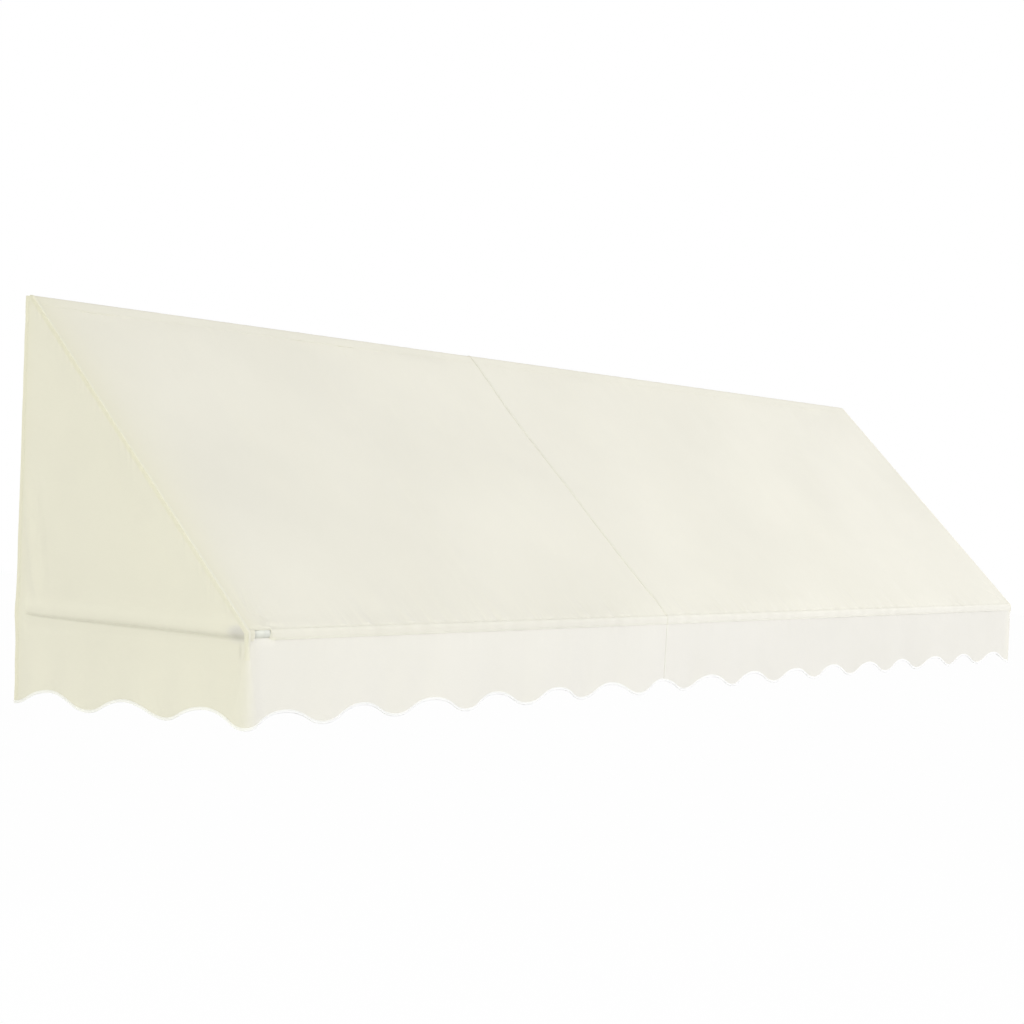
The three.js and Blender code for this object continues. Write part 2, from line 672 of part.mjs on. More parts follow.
function add(name, geometry, material) {
  const mesh = new THREE.Mesh(geometry, material);
  mesh.name = name;
  awning.add(mesh);
  return mesh;
}

// Adds a piece made for the left end, and its mirrored twin at the right end.
function addPair(name, geometry, makeMaterial) {
  add(`${name}_left`, geometry, makeMaterial());
  add(`${name}_right`, geometry, makeMaterial()).scale.x = -1;
}

const bracketPlaces = {
  left: -HALF + END_BRACKET_INSET,
  middle: 0,
  right: HALF - END_BRACKET_INSET,
};
const bracketXs = Object.values(bracketPlaces);
const clothSpans = { left: [-CLOTH_END, SEAM_X - GAP / 2], right: [SEAM_X + GAP / 2, CLOTH_END] };

for (const [side, [from, to]] of Object.entries(clothSpans)) {
  const pocketFrom = Math.max(from, -HALF + POCKET_FROM_CORNER);
  const pocketTo = Math.min(to, HALF - POCKET_FROM_CORNER);
  const brackets = bracketXs.filter((x) => x > from && x < to);
  add(`roof_panel_${side}`, roofPanel(from, to), CLOTH_FINISH());
  add(`top_sleeve_${side}`, topSleeve(from, to, brackets), CLOTH_FINISH());
  add(`front_pocket_${side}`, frontPocket(pocketFrom, pocketTo), CLOTH_FINISH());
  add(`valance_${side}`, frontValance(from, to), CLOTH_FINISH());
  add(`edging_valance_${side}`, frontEdging(from, to), TAPE_FINISH());
}
addPair("wing", wing(), CLOTH_FINISH);
addPair("edging_wing", wingEdging(), TAPE_FINISH);
addPair("side_seam", sideSeam(), CLOTH_FINISH);
addPair("wing_tie", wingTie(), TAPE_FINISH);

// Both rails come in three equal lengths with a sleeve inside each joint.
function addRail(name, place, end, holes) {
  const joint = WIDTH / RAIL_LENGTHS / 2;
  const spans = {
    left: [-end, -joint - GAP / 2],
    middle: [-joint + GAP / 2, joint - GAP / 2],
    right: [joint + GAP / 2, end],
  };
  for (const [part, [from, to]] of Object.entries(spans)) {
    const own = holes.filter(([x]) => x > from && x < to);
    add(`${name}_${part}`, railLength(from, to, place, own), TUBE_FINISH());
  }
  add(`${name}_sleeve_left`, jointSleeve(-joint, place), TUBE_FINISH());
  add(`${name}_sleeve_right`, jointSleeve(joint, place), TUBE_FINISH());
}

const railScrewHoles = bracketXs.map((x) => [x, RAIL_SCREW.shank + GAP]);
addRail("top_rail", TOP, HALF - RAIL_END_INSET, railScrewHoles);
addPair("top_rail_cap", railCap(), FITTING_FINISH);

const elbowScrewX = elbowScrewPlaces()[0].x;
const elbowHoles = [elbowScrewX, -elbowScrewX].map((x) => [x, SELF_TAPPER.shank + GAP]);
addRail("front_rail", FRONT, ARM_X - ELBOW_LEG - GAP, elbowHoles);
addPair("arm", arm(), TUBE_FINISH);
addPair("corner_elbow", elbow(), FITTING_FINISH);
addPair("elbow_screw_rail", elbowScrew(elbowScrewPlaces()[0]), SCREW_FINISH);
addPair("elbow_screw_arm", elbowScrew(elbowScrewPlaces()[1]), SCREW_FINISH);

for (const [side, x] of Object.entries(bracketPlaces)) {
  add(`rail_bracket_${side}`, railBracket(x), FITTING_FINISH());
  add(`rail_screw_${side}`, railScrew(x), SCREW_FINISH());
}
addPair("arm_bracket", armBracket(), FITTING_FINISH);
addPair("arm_set_screw", armSetScrew(), SCREW_FINISH);

export default awning;
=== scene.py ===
import json
import math
import bpy
import numpy as np
from mathutils import Matrix, Vector


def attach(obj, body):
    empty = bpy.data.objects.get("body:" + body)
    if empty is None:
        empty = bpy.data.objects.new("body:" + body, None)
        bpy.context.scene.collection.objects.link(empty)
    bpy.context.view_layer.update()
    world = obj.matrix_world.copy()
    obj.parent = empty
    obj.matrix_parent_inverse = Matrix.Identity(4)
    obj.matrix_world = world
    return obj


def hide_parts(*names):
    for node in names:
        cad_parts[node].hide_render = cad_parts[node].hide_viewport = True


# The looks of a bistro awning: its cloth, tapes, stitching and frame.
# Metres. +X runs along the front, +Y points into the wall, +Z is up. The origin is on the wall,
# behind the middle of the top rail. A place in a section is (out, up): out is the distance from
# the wall.

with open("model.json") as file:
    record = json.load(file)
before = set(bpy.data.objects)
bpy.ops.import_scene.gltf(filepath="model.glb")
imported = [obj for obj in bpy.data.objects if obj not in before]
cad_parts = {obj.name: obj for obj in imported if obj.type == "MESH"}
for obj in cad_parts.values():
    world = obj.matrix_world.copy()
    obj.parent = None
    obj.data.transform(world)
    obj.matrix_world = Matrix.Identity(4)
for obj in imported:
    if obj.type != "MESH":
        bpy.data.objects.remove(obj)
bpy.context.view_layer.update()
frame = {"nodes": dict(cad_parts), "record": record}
nodes = frame["nodes"]

# Sizes of the awning
HALF = 2.0
PROJECTION = 0.72
DROP = 0.72
STANDOFF = 0.018
VALANCE = 0.2
SEAM_X = -0.36
SEAM_LAP = 0.006
TOP = np.array([STANDOFF, 0.0])
FRONT = np.array([PROJECTION, -DROP])
SLOPE = float(np.hypot(*(FRONT - TOP)))
DOWN = (FRONT - TOP) / SLOPE
OFF = np.array([-DOWN[1], DOWN[0]])
OFF_ANGLE = math.atan2(OFF[1], OFF[0])

# Cloth
SKIN = 0.0008
ROUND_TUBE = 0.0134
LINING = 0.0124
TOP_BAND = 0.025
FRONT_BAND = 0.002
TAIL = 0.014
SAG = 0.007
WALL_HEM = 0.0125
POCKET_FROM_CORNER = 0.07
CORNER_FLAP = 0.022
WALL_GAP = 0.003
VALANCE_TOP = -DROP - TAIL + 0.0045
TIP_LEVEL = -DROP - VALANCE
SCALLOP_DEPTH = 0.032
TIP_SHARE = 0.4
FRONT_SCALLOPS = 16
WING_SCALLOPS = 3
SEAM_STRIP_DROP = 0.055
BRACKETS = (-1.9, 0.0, 1.9)
WINDOW_HALF = 0.025
ARM_X = 1.984
# How far the right width of cloth and its tape lie over the left ones
CLOTH_OVER = 0.0009
TAPE_OVER = 0.0006

# Stitching: the two rows of the cloth seam on its sides, the other rows from the edge of their
# hem, strip or tape, the pitch, the thread's height on each, and the grooves that it pulls in
SEAM_ROWS = (-0.004, 0.004)
HEM_ROW = 0.0095
STRIP_ROW = 0.0079
TAPE_ROW = 0.0054
STITCH_PITCH = 0.0036
THREAD_RISE = 0.0003
STRIP_THREAD_RISE = 0.0005
TAPE_THREAD_RISE = 0.0013
GROOVE = 0.0022
SEAM_GROOVE = 0.0016

# Spacing of the grids' lines on the valance, on the wings and beside a row of stitches
VALANCE_STEP = 0.008
WING_STEP = 0.004
STITCH_STEP = 0.0012

# The skirt's path in plan: up the left end, along the front, down the right end
FACE = PROJECTION + ROUND_TUBE - 0.0012
LEG = FACE - WALL_GAP
AROUND = 2 * LEG + 2 * HALF
SEAM_Q = LEG + HALF + SEAM_X
CORNER_TOP = 0.004
CORNER_FOOT = 0.055
RIGHT_CORNER_FOOT = 0.014


def smooth(value, low=0.0, high=1.0):
    share = np.clip((value - low) / (high - low), 0.0, 1.0)
    return share * share * (3.0 - 2.0 * share)


def bell(value, middle, width):
    return np.exp(-(((value - middle) / width) ** 2))


def ripples(seed, count, shortest, longest, turn=0.0, spread=math.pi):
    """A smooth random field of two coordinates, about -1 to 1."""
    rng = np.random.default_rng(seed)
    angle = rng.uniform(-spread, spread, count) + turn
    pitch = rng.uniform(shortest, longest, count)
    phase = rng.uniform(0, 2 * math.pi, count)
    across, along = 2 * math.pi * np.cos(angle) / pitch, 2 * math.pi * np.sin(angle) / pitch

    def field(a, b):
        a, b = np.broadcast_arrays(np.asarray(a, float), np.asarray(b, float))
        total = np.zeros(a.shape)
        for i in range(count):
            total += np.sin(across[i] * a + along[i] * b + phase[i])
        return total / math.sqrt(count)

    return field


def add_object(name, data):
    made = bpy.data.objects.new(name, data)
    bpy.context.scene.collection.objects.link(made)
    return made


# Camera

camera_data = bpy.data.cameras.new("camera")
camera = add_object("camera", camera_data)
bpy.context.scene.camera = camera


def aim_camera(place, yaw, pitch, roll, lens):
    yaw, pitch, roll = (math.radians(a) for a in (yaw, pitch, roll))
    ahead = Vector((math.sin(yaw) * math.cos(pitch), math.cos(yaw) * math.cos(pitch), math.sin(pitch)))
    right = Vector((math.cos(yaw), -math.sin(yaw), 0))
    up = right.cross(ahead)
    right, up = (
        right * math.cos(roll) + up * math.sin(roll),
        up * math.cos(roll) - right * math.sin(roll),
    )
    turn = Matrix((right, up, -ahead)).transposed()
    camera.matrix_world = Matrix.Translation(place) @ turn.to_4x4()
    camera_data.lens = lens
    camera_data.sensor_width = 36
    camera_data.clip_end = 200


aim_camera(Vector((-5.057, -3.6565, -0.4727)), yaw=53.592, pitch=0.32, roll=1.8, lens=71.18)

# Materials

BUMP_DEPTH = 0.0002
HEIGHT_AND_TINT = (("Height", "Float"), ("Tint", "Float"))


def feed(tree, entry, value):
    """Links an output to a node's entry, or sets a plain value there."""
    if isinstance(value, bpy.types.NodeSocket):
        tree.links.new(value, entry)
    elif value is not None:
        entry.default_value = value


def new_group(name, kind, entries, results):
    """A node group with its named sockets, and the nodes that hold its inputs and outputs."""
    group = bpy.data.node_groups.new(name, kind)
    for way, sockets in (("INPUT", entries), ("OUTPUT", results)):
        for title, sort, *value in sockets:
            made = group.interface.new_socket(name=title, in_out=way, socket_type="NodeSocket" + sort)
            if value:
                made.default_value = value[0]
    return group, group.nodes.new("NodeGroupInput"), group.nodes.new("NodeGroupOutput")


def math_node(tree, operation, first, second=None):
    node = tree.nodes.new("ShaderNodeMath")
    node.operation = operation
    feed(tree, node.inputs[0], first)
    feed(tree, node.inputs[1], second)
    return node.outputs[0]


def noise_node(tree, place, scale, detail=2.0, rough=0.5):
    node = tree.nodes.new("ShaderNodeTexNoise")
    for name, value in (("Vector", place), ("Scale", scale), ("Detail", detail), ("Roughness", rough)):
        feed(tree, node.inputs[name], value)
    return node.outputs["Fac"]


def weave_group():
    """Plain weave on the flat cloth: its height, and a tint for slubs and uneven dye."""
    entries = (("Flat place", "Vector"), ("Thread pitch", "Float", 0.0007), ("Slub", "Float", 0.02))
    group, given, result = new_group("plain_weave", "ShaderNodeTree", entries, HEIGHT_AND_TINT)
    parts = group.nodes.new("ShaderNodeSeparateXYZ")
    group.links.new(given.outputs["Flat place"], parts.inputs[0])
    rate = math_node(group, "DIVIDE", math.pi, given.outputs["Thread pitch"])
    warp = math_node(group, "SINE", math_node(group, "MULTIPLY", parts.outputs["X"], rate))
    weft = math_node(group, "SINE", math_node(group, "MULTIPLY", parts.outputs["Y"], rate))
    cross = math_node(group, "MULTIPLY", warp, weft)
    half = math_node(group, "MULTIPLY", cross, 0.5)
    group.links.new(math_node(group, "ADD", half, 0.5), result.inputs["Height"])
    stretch = group.nodes.new("ShaderNodeMapping")
    stretch.inputs["Scale"].default_value = (1.0, 12.0, 1.0)
    group.links.new(given.outputs["Flat place"], stretch.inputs["Vector"])
    slub = noise_node(group, stretch.outputs["Vector"], 60.0, 3.0, 0.6)
    dye = noise_node(group, given.outputs["Flat place"], 2.4, 3.0, 0.55)
    dye = math_node(group, "MULTIPLY", dye, 1.8)
    both = math_node(group, "SUBTRACT", math_node(group, "ADD", slub, dye), 1.4)
    change = math_node(group, "MULTIPLY", both, given.outputs["Slub"])
    group.links.new(math_node(group, "ADD", change, 1.0), result.inputs["Tint"])
    return group


def grain_group():
    """Fine grain of a coated or moulded surface: its height, and a slight change of shade."""
    entries = (("Place", "Vector"), ("Grain scale", "Float", 900.0), ("Change", "Float", 0.04))
    group, given, result = new_group("fine_grain", "ShaderNodeTree", entries, HEIGHT_AND_TINT)
    grain = noise_node(group, given.outputs["Place"], given.outputs["Grain scale"])
    group.links.new(grain, result.inputs["Height"])
    patch = noise_node(group, given.outputs["Place"], 14.0, 4.0, 0.6)
    patch = math_node(group, "SUBTRACT", patch, 0.5)
    change = math_node(group, "MULTIPLY", patch, given.outputs["Change"])
    group.links.new(math_node(group, "ADD", change, 1.0), result.inputs["Tint"])
    return group


WEAVE = weave_group()
GRAIN = grain_group()


def bare_material(name, roughness, metallic=0.0):
    material = bpy.data.materials.new(name)
    material.use_nodes = True
    tree = material.node_tree
    shader = tree.nodes["Principled BSDF"]
    shader.inputs["Roughness"].default_value = roughness
    shader.inputs["Metallic"].default_value = metallic
    return material, tree, shader


def place_group(tree, group, **values):
    node = tree.nodes.new("ShaderNodeGroup")
    node.node_tree = group
    for name, value in values.items():
        feed(tree, node.inputs[name.replace("_", " ")], value)
    return node


def bump(tree, shader, height, strength):
    node = tree.nodes.new("ShaderNodeBump")
    for name, value in (("Strength", strength), ("Distance", BUMP_DEPTH), ("Height", height)):
        feed(tree, node.inputs[name], value)
    feed(tree, shader.inputs["Normal"], node.outputs["Normal"])


def colour_mix(tree, share, first, second):
    """Mixes two colours by a share that may lie a little outside 0 to 1."""
    mixed = tree.nodes.new("ShaderNodeMix")
    mixed.data_type = "RGBA"
    mixed.clamp_factor = False
    for name, value in (("A", first), ("B", second), ("Factor", share)):
        feed(tree, mixed.inputs[name], value)
    return mixed.outputs["Result"]


def attribute_node(tree, name):
    node = tree.nodes.new("ShaderNodeAttribute")
    node.attribute_name = name
    return node.outputs["Fac"]


def paint(tree, shader, colour, tint):
    """Gives the shader a colour that the tint makes lighter or darker."""
    tinted = tree.nodes.new("ShaderNodeVectorMath")
    tinted.operation = "SCALE"
    feed(tree, tinted.inputs[0], colour)
    feed(tree, tinted.inputs["Scale"], tint)
    feed(tree, shader.inputs["Base Color"], tinted.outputs["Vector"])


def cloth_material(name, colour, shade, doubled_and_lit, pitch, roughness, sheen, strength=0.3):
    """Woven cloth. A piece's tone is 1 in the open and less in folds, creases and grooves, where it
    paints shade, and a little over 1 where it paints light. Its warmth paints the tint of light in the
    cloth: 1 where two layers lie together and light through them turns it yellow, and less than 0
    where light comes through a single layer."""
    material, tree, shader = bare_material(name, roughness)
    flat = tree.nodes.new("ShaderNodeUVMap")
    flat.uv_map = "flat"
    weave = place_group(tree, WEAVE, Flat_place=flat.outputs["UV"], Thread_pitch=pitch, Slub=0.045)
    # Warmth mixes in the painted tint of light through the cloth, then tone mixes in the painted shade
    coloured = colour_mix(tree, attribute_node(tree, "warmth"), colour, doubled_and_lit)
    toned = colour_mix(tree, attribute_node(tree, "tone"), shade, coloured)
    paint(tree, shader, toned, weave.outputs["Tint"])
    shader.inputs["Sheen Weight"].default_value = sheen
    shader.inputs["Specular IOR Level"].default_value = 0.25
    bump(tree, shader, weave.outputs["Height"], strength)
    return material


def coated_material(name, colour, roughness, grain, change, strength, metallic=0.0):
    material, tree, shader = bare_material(name, roughness, metallic)
    place = tree.nodes.new("ShaderNodeTexCoord").outputs["Object"]
    grained = place_group(tree, GRAIN, Place=place, Grain_scale=grain, Change=change)
    paint(tree, shader, colour, grained.outputs["Tint"])
    rough = math_node(tree, "MULTIPLY", grained.outputs["Tint"], roughness)
    feed(tree, shader.inputs["Roughness"], rough)
    bump(tree, shader, grained.outputs["Height"], strength)
    return material


# Cloths: colour, painted shade, colour of two layers lit through, thread pitch, roughness, sheen
CREAM = (0.808, 0.787, 0.694, 1)
CREAM_SHADE = (0.49, 0.472, 0.40, 1)
# The yellow that the warmth paints where light comes through two layers of cream cloth
CREAM_DOUBLED_AND_LIT_THROUGH = (0.806, 0.782, 0.632, 1)
WHITE = (0.945, 0.945, 0.94, 1)
WEBBING_WHITE = (0.88, 0.88, 0.86, 1)
GREY = (0.65, 0.65, 0.65, 1)
cloth = cloth_material("cream_cloth", CREAM, CREAM_SHADE, CREAM_DOUBLED_AND_LIT_THROUGH, 0.0007, 0.85, 0.1)
tape = cloth_material("white_binding_tape", WHITE, GREY, WHITE, 0.0005, 0.8, 0.1)
webbing = cloth_material("white_webbing", WEBBING_WHITE, GREY, WEBBING_WHITE, 0.0014, 0.75, 0.05, 0.6)
# Coats: colour, roughness, scale of the grain, how far it changes the shade, its depth, metallic
thread = coated_material("cream_thread", (0.85, 0.84, 0.75), 0.6, 2500.0, 0.05, 0.3)
powder_coat = coated_material("light_grey_powder_coat", (0.71, 0.72, 0.66), 0.42, 1100.0, 0.05, 0.12)
moulded = coated_material("light_grey_moulding", (0.755, 0.765, 0.69), 0.5, 1500.0, 0.05, 0.15)
bracket_coat = coated_material("bracket_powder_coat", (0.70, 0.71, 0.69), 0.45, 1000.0, 0.06, 0.15)
zinc = coated_material("zinc_plating", (0.66, 0.67, 0.70), 0.35, 600.0, 0.12, 0.1, 1.0)

FINISHES = {"tube": powder_coat, "fitting": moulded, "bracket": bracket_coat, "screw": zinc}
for part in frame["record"]["subparts"]:
    finish = FINISHES.get(part["material_slot"])
    if finish:
        for holder in nodes[part["node"]].material_slots:
            holder.material = finish

# Sheets


def unit(vectors):
    return vectors / np.maximum(np.linalg.norm(vectors, axis=-1, keepdims=True), 1e-12)


def faces_of(rows, columns, keep):
    i, j = np.meshgrid(np.arange(rows - 1), np.arange(columns - 1), indexing="ij")
    first = i * columns + j
    quads = np.stack([first, first + 1, first + columns + 1, first + columns], axis=-1)
    return quads[np.ones(first.shape, bool) if keep is None else keep].reshape(-1, 4)


def shell(name, points, normals, flat, tone=1.0, warmth=0.0, thickness=SKIN, keep=None, material=None):
    """A closed sheet: the grid of points is its outer face, and its normals point outwards."""
    rows, columns = points.shape[:2]
    quads = faces_of(rows, columns, keep)
    flat_points, flat_normals = points.reshape(-1, 3), normals.reshape(-1, 3)
    corner = flat_points[quads]
    facing = np.cross(corner[:, 2] - corner[:, 0], corner[:, 3] - corner[:, 1])
    if (facing * flat_normals[quads[:, 0]]).sum() < 0:
        quads = quads[:, ::-1]
    used, packed = np.unique(quads, return_inverse=True)
    quads = packed.reshape(-1, 4)
    count = len(used)
    outer, facing = flat_points[used], flat_normals[used]
    inner = outer - facing * thickness
    ends = np.stack([quads, np.roll(quads, -1, axis=1)], axis=-1).reshape(-1, 2)
    keys, back = ends[:, 0] * count + ends[:, 1], ends[:, 1] * count + ends[:, 0]
    free = ends[~np.isin(keys, back)]
    rim = np.stack([free[:, 1], free[:, 0], free[:, 0] + count, free[:, 1] + count], axis=-1)
    faces = np.concatenate([quads, quads[:, ::-1] + count, rim])
    vertices = np.concatenate([outer, inner])
    mesh = bpy.data.meshes.new(name)
    mesh.from_pydata(vertices.tolist(), [], faces.tolist(), shade_flat=False)
    corner = vertices[rim]
    side = unit(np.cross(corner[:, 2] - corner[:, 0], corner[:, 3] - corner[:, 1]))
    loop_normals = np.concatenate([
        facing[quads].reshape(-1, 3),
        -facing[quads[:, ::-1]].reshape(-1, 3),
        np.repeat(side, 4, axis=0),
    ])
    mesh.normals_split_custom_set(loop_normals)
    layer = mesh.uv_layers.new(name="flat")
    place = np.tile(flat.reshape(-1, 2)[used], (2, 1))[faces.ravel()]
    layer.data.foreach_set("uv", place.ravel())
    for key, values in (("tone", tone), ("warmth", warmth)):
        spread = np.broadcast_to(np.asarray(values, float), (rows, columns)).ravel()
        attribute = mesh.attributes.new(key, "FLOAT", "POINT")
        attribute.data.foreach_set("value", np.tile(spread[used], 2))
    mesh.materials.append(material or cloth)
    piece = add_object(name, mesh)
    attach(piece, "root")
    return piece


def surface(function, first, second, step=0.0003):
    """Points and unit normals of a sheet's outer face, from its own function of two places."""
    points = function(first, second)
    along = function(first + step, second) - function(first - step, second)
    across = function(first, second + step) - function(first, second - step)
    return points, unit(np.cross(across, along))


def lines_between(low, high, step, *marks):
    """Grid lines at about the step, with finer ones at the marks (place, reach, finer step)."""
    lines = [np.linspace(low, high, max(2, int(round((high - low) / step)) + 1))]
    for place, reach, finer in marks:
        near = np.arange(place - reach, place + reach + finer / 2, finer)
        lines.append(near[(near > low) & (near < high)])
    merged = np.unique(np.concatenate(lines))
    gap = min([step] + [m[2] for m in marks]) * 0.45
    kept = [merged[0]]
    for value in merged[1:-1]:
        if value - kept[-1] > gap and merged[-1] - value > gap:
            kept.append(value)
    return np.array(kept + [merged[-1]])


# Roof, sleeve and pocket front


def arc(middle, radius, start, stop):
    turns = np.radians(np.linspace(start, stop, max(3, int(abs(stop - start) / 3) + 1)))
    return middle + radius * np.stack([np.cos(turns), np.sin(turns)], axis=-1)


def on_slope(run, off):
    return TOP + DOWN * run + OFF * off


class Section:
    """A smooth line in (out, up), read by the length along it."""

    def __init__(self, *parts):
        points = np.concatenate([np.atleast_2d(p) for p in parts])
        steps = np.hypot(*np.diff(points, axis=0).T)
        points = points[np.concatenate([[True], steps > 1e-6])]
        lengths = np.concatenate([[0], np.cumsum(np.hypot(*np.diff(points, axis=0).T))])
        self.length = lengths[-1]
        self.at = np.arange(0, self.length, 0.0005)
        self.out = np.interp(self.at, lengths, points[:, 0])
        self.up = np.interp(self.at, lengths, points[:, 1])
        slope = unit(np.stack([np.gradient(self.out), np.gradient(self.up)], axis=-1))
        self.off = np.stack([-slope[:, 1], slope[:, 0]], axis=-1)

    def off_at(self, t):
        return unit(np.stack([np.interp(t, self.at, self.off[:, k]) for k in (0, 1)], axis=-1))

    def place(self, t, raise_by=0.0):
        out = np.interp(t, self.at, self.out)
        up = np.interp(t, self.at, self.up)
        off = self.off_at(t)
        return out + off[..., 0] * raise_by, up + off[..., 1] * raise_by


def tangent_angles(middle, radius, point):
    offset = np.asarray(point) - middle
    toward = math.degrees(math.atan2(offset[1], offset[0]))
    swing = math.degrees(math.acos(radius / np.hypot(*offset)))
    return toward - swing, toward + swing


SLEEVE_STITCH = on_slope(TOP_BAND + 0.004, ROUND_TUBE - SKIN)
sleeve_low = tangent_angles(TOP, ROUND_TUBE, SLEEVE_STITCH)[0] + 360
slope_angle = math.degrees(OFF_ANGLE)
round_top = arc(TOP, ROUND_TUBE, sleeve_low, slope_angle)
round_front = arc(FRONT, ROUND_TUBE, slope_angle, 0)
roof_section = Section(SLEEVE_STITCH, round_top, round_front, FRONT + [ROUND_TUBE, -TAIL])
WRAP = math.radians(sleeve_low - slope_angle) * ROUND_TUBE
SLOPE_START = float(np.hypot(*(SLEEVE_STITCH - round_top[0]))) + WRAP
# Where the rows of the sleeve, the pocket and its lower edge lie, as lengths down the slope
SLEEVE_RUN = TOP_BAND
POCKET_RUN = SLOPE - FRONT_BAND
TAIL_RUN = SLOPE + ROUND_TUBE * OFF_ANGLE + TAIL - 0.003
POCKET_END = HALF - POCKET_FROM_CORNER

# Fields: seed, number of waves, shortest and longest wave, their direction and its spread
roof_swell = ripples(3, 9, 0.32, 0.8)
roof_small = ripples(5, 10, 0.10, 0.22)
roof_streak = ripples(8, 9, 0.09, 0.25, 0.0, 0.35)
gather_field = ripples(11, 12, 0.018, 0.06, 0.0, 0.06)
pucker_field = ripples(13, 8, 0.007, 0.018, 0.0, 0.1)
roof_cloud = ripples(17, 8, 0.5, 1.5)
pocket_field = ripples(47, 9, 0.04, 0.10, 0.0, 0.05)


def beside_flap(x, before, after, reach=0.0):
    """1 between the left corner's flap and the pocket, where the elbow shows, and 0 elsewhere."""
    from_corner = HALF + x
    shown = smooth(from_corner, CORNER_FLAP - before, CORNER_FLAP + after)
    end = POCKET_FROM_CORNER + reach
    return shown * (1 - smooth(from_corner, end - before, end + after))


def tucked_in(x, above_edge):
    """How far the pocket's lower edge and the valance go in under the elbow."""
    return 0.0058 * beside_flap(x, 0.005, 0.008, 0.006) * np.exp(-((above_edge / 0.009) ** 2))


def corner_folds(x, run):
    """Folds that fan out over the roof from each front corner."""
    total = 0.0
    for side in (-1, 1):
        across = HALF - 0.03 - side * x
        back = SLOPE - 0.02 - run
        reach = np.hypot(across, back)
        turn = np.arctan2(back, across)
        fan = 0.55 * np.sin(9.0 * turn + 0.6) + 0.45 * np.sin(17.0 * turn + 2.0)
        total += 0.0024 * fan * smooth(reach, 0.0, 0.06) * np.exp(-reach / 0.11)
    return total


def pocket_folds(x):
    """Folds that cross the pocket, more at the middle than at the corners."""
    return pocket_field(x, 0.0) * smooth(HALF - np.abs(x), 0.05, 0.4)


def roof_lift(x, t):
    """How far the roof's cloth stands off its section."""
    run = t - SLOPE_START
    share = np.clip(run / SLOPE, 0, 1)
    from_end = HALF - np.abs(x)
    held = smooth(share, 0.0, 0.06) * smooth(1 - share, 0.0, 0.05)
    free = held * smooth(from_end, 0.0, 0.12)
    sag = -SAG * 4 * share * (1 - share) * smooth(from_end, 0.0, 0.4)
    lift = sag * smooth(run, 0, 0.02)
    lift += free * (0.0024 * roof_swell(x, run) + 0.0006 * roof_small(x, run))
    lift += free * 0.0003 * roof_streak(x, run)
    lift += corner_folds(x, run) * smooth(1 - share, 0.0, 0.01) * smooth(from_end, 0.008, 0.03)
    above = np.maximum(POCKET_RUN - run, 0)
    below = np.maximum(run - POCKET_RUN, 0)
    gathers = gather_field(x, 0.0)
    lift += 0.0008 * gathers * np.exp(-above / 0.035) * smooth(above, 0.0, 0.006)
    lift += 0.0003 * gathers * bell(below, 0.008, 0.006)
    folds = pocket_folds(x)
    lift += 0.0011 * folds * np.exp(-above / 0.05) * smooth(above, 0.0, 0.008)
    lift += 0.0007 * folds * bell(below, 0.010, 0.008)
    under_sleeve = np.maximum(run - SLEEVE_RUN, 0)
    gathers = gather_field(x + 7, 0.0)
    lift += 0.0004 * gathers * np.exp(-under_sleeve / 0.03) * smooth(under_sleeve, 0, 0.006)
    puckers = 1 + 0.45 * pucker_field(x, 0.0)
    for seam, depth in ((POCKET_RUN, 0.0008), (SLEEVE_RUN, 0.00012), (TAIL_RUN, 0.0005)):
        lift -= depth * puckers * bell(run, seam, GROOVE)
    for row in SEAM_ROWS:
        lift -= 0.0003 * bell(x, SEAM_X + row, SEAM_GROOVE)
    lift += 0.0008 * bell(x, SEAM_X, 0.0065)
    lift -= 0.0008 * (1 - smooth(from_end, 0.0, 0.007))
    on_elbow = beside_flap(x, 0.004, 0.005) * smooth(run, SLOPE - 0.012, SLOPE - 0.001)
    lift = lift * (1 - on_elbow) - 0.0015 * on_elbow
    return lift - tucked_in(x, roof_section.length - t)


def roof_place(x, t, raise_by=0.0):
    x, t = np.broadcast_arrays(np.asarray(x, float), np.asarray(t, float))
    out, up = roof_section.place(t, roof_lift(x, t) + raise_by)
    return np.stack([x, -out, up], axis=-1)


def roof_tone(x, t):
    run = t - SLOPE_START
    from_end = HALF - np.abs(x)
    # Random mottling, and painted shade beside the left end's seam
    tone = 1 + 0.03 * roof_cloud(x, run) - 0.07 * np.exp(-from_end / 0.05) * (x < 0)
    # Painted shade towards the right end
    tone -= 0.025 * smooth(x, 1.0, 1.9)
    # Painted shade at the left corner, beside the flap where the elbow shows
    flap = (1 - smooth(HALF + x, 0.010, CORNER_FLAP)) * smooth(run, SLOPE - 0.005, SLOPE + 0.01)
    tone -= 0.12 * flap
    # Painted shade in the grooves of the pocket's stitching and of the cloth seam
    tone -= 0.12 * bell(run, POCKET_RUN, GROOVE)
    for row in SEAM_ROWS:
        tone -= 0.08 * (1 - 0.9 * smooth(run, 0.3, 0.8)) * bell(x, SEAM_X + row, 0.0014)
    # Painted light beside the step of the cloth seam, against its shadow
    tone += 0.08 * smooth(run, 0.2, 0.8) * bell(x, SEAM_X - 0.007, 0.003)
    # Painted shade and light of the folds across the pocket and above it
    above = np.maximum(POCKET_RUN - run, 0)
    below = smooth(run, POCKET_RUN, POCKET_RUN + 0.004)
    return tone + pocket_folds(x) * (0.035 * below + 0.02 * np.exp(-above / 0.04) * (1 - below))


# The roof's warmth paints the tint of light through the cloth: yellow beside the end seams, mostly at the
# left, and along the top, less yellow towards the right end and on the pocket away from the left end
def roof_warmth(x, t):
    run = t - SLOPE_START
    from_end = HALF - np.abs(x)
    reach = 0.08 - 0.04 * smooth(run, 0.4, 0.9)
    near_seam = np.exp(-from_end / reach) * np.where(x < 0, 1.0, 0.1)
    at_top = 0.14 * np.exp(-np.abs(run) / 0.06) * (1 - near_seam)
    on_pocket = smooth(run, SLOPE - 0.008, SLOPE + 0.012) * smooth(x, -1.7, -0.6)
    return near_seam + at_top - 0.10 * smooth(x, 0.8, 1.9) - 0.35 * on_pocket


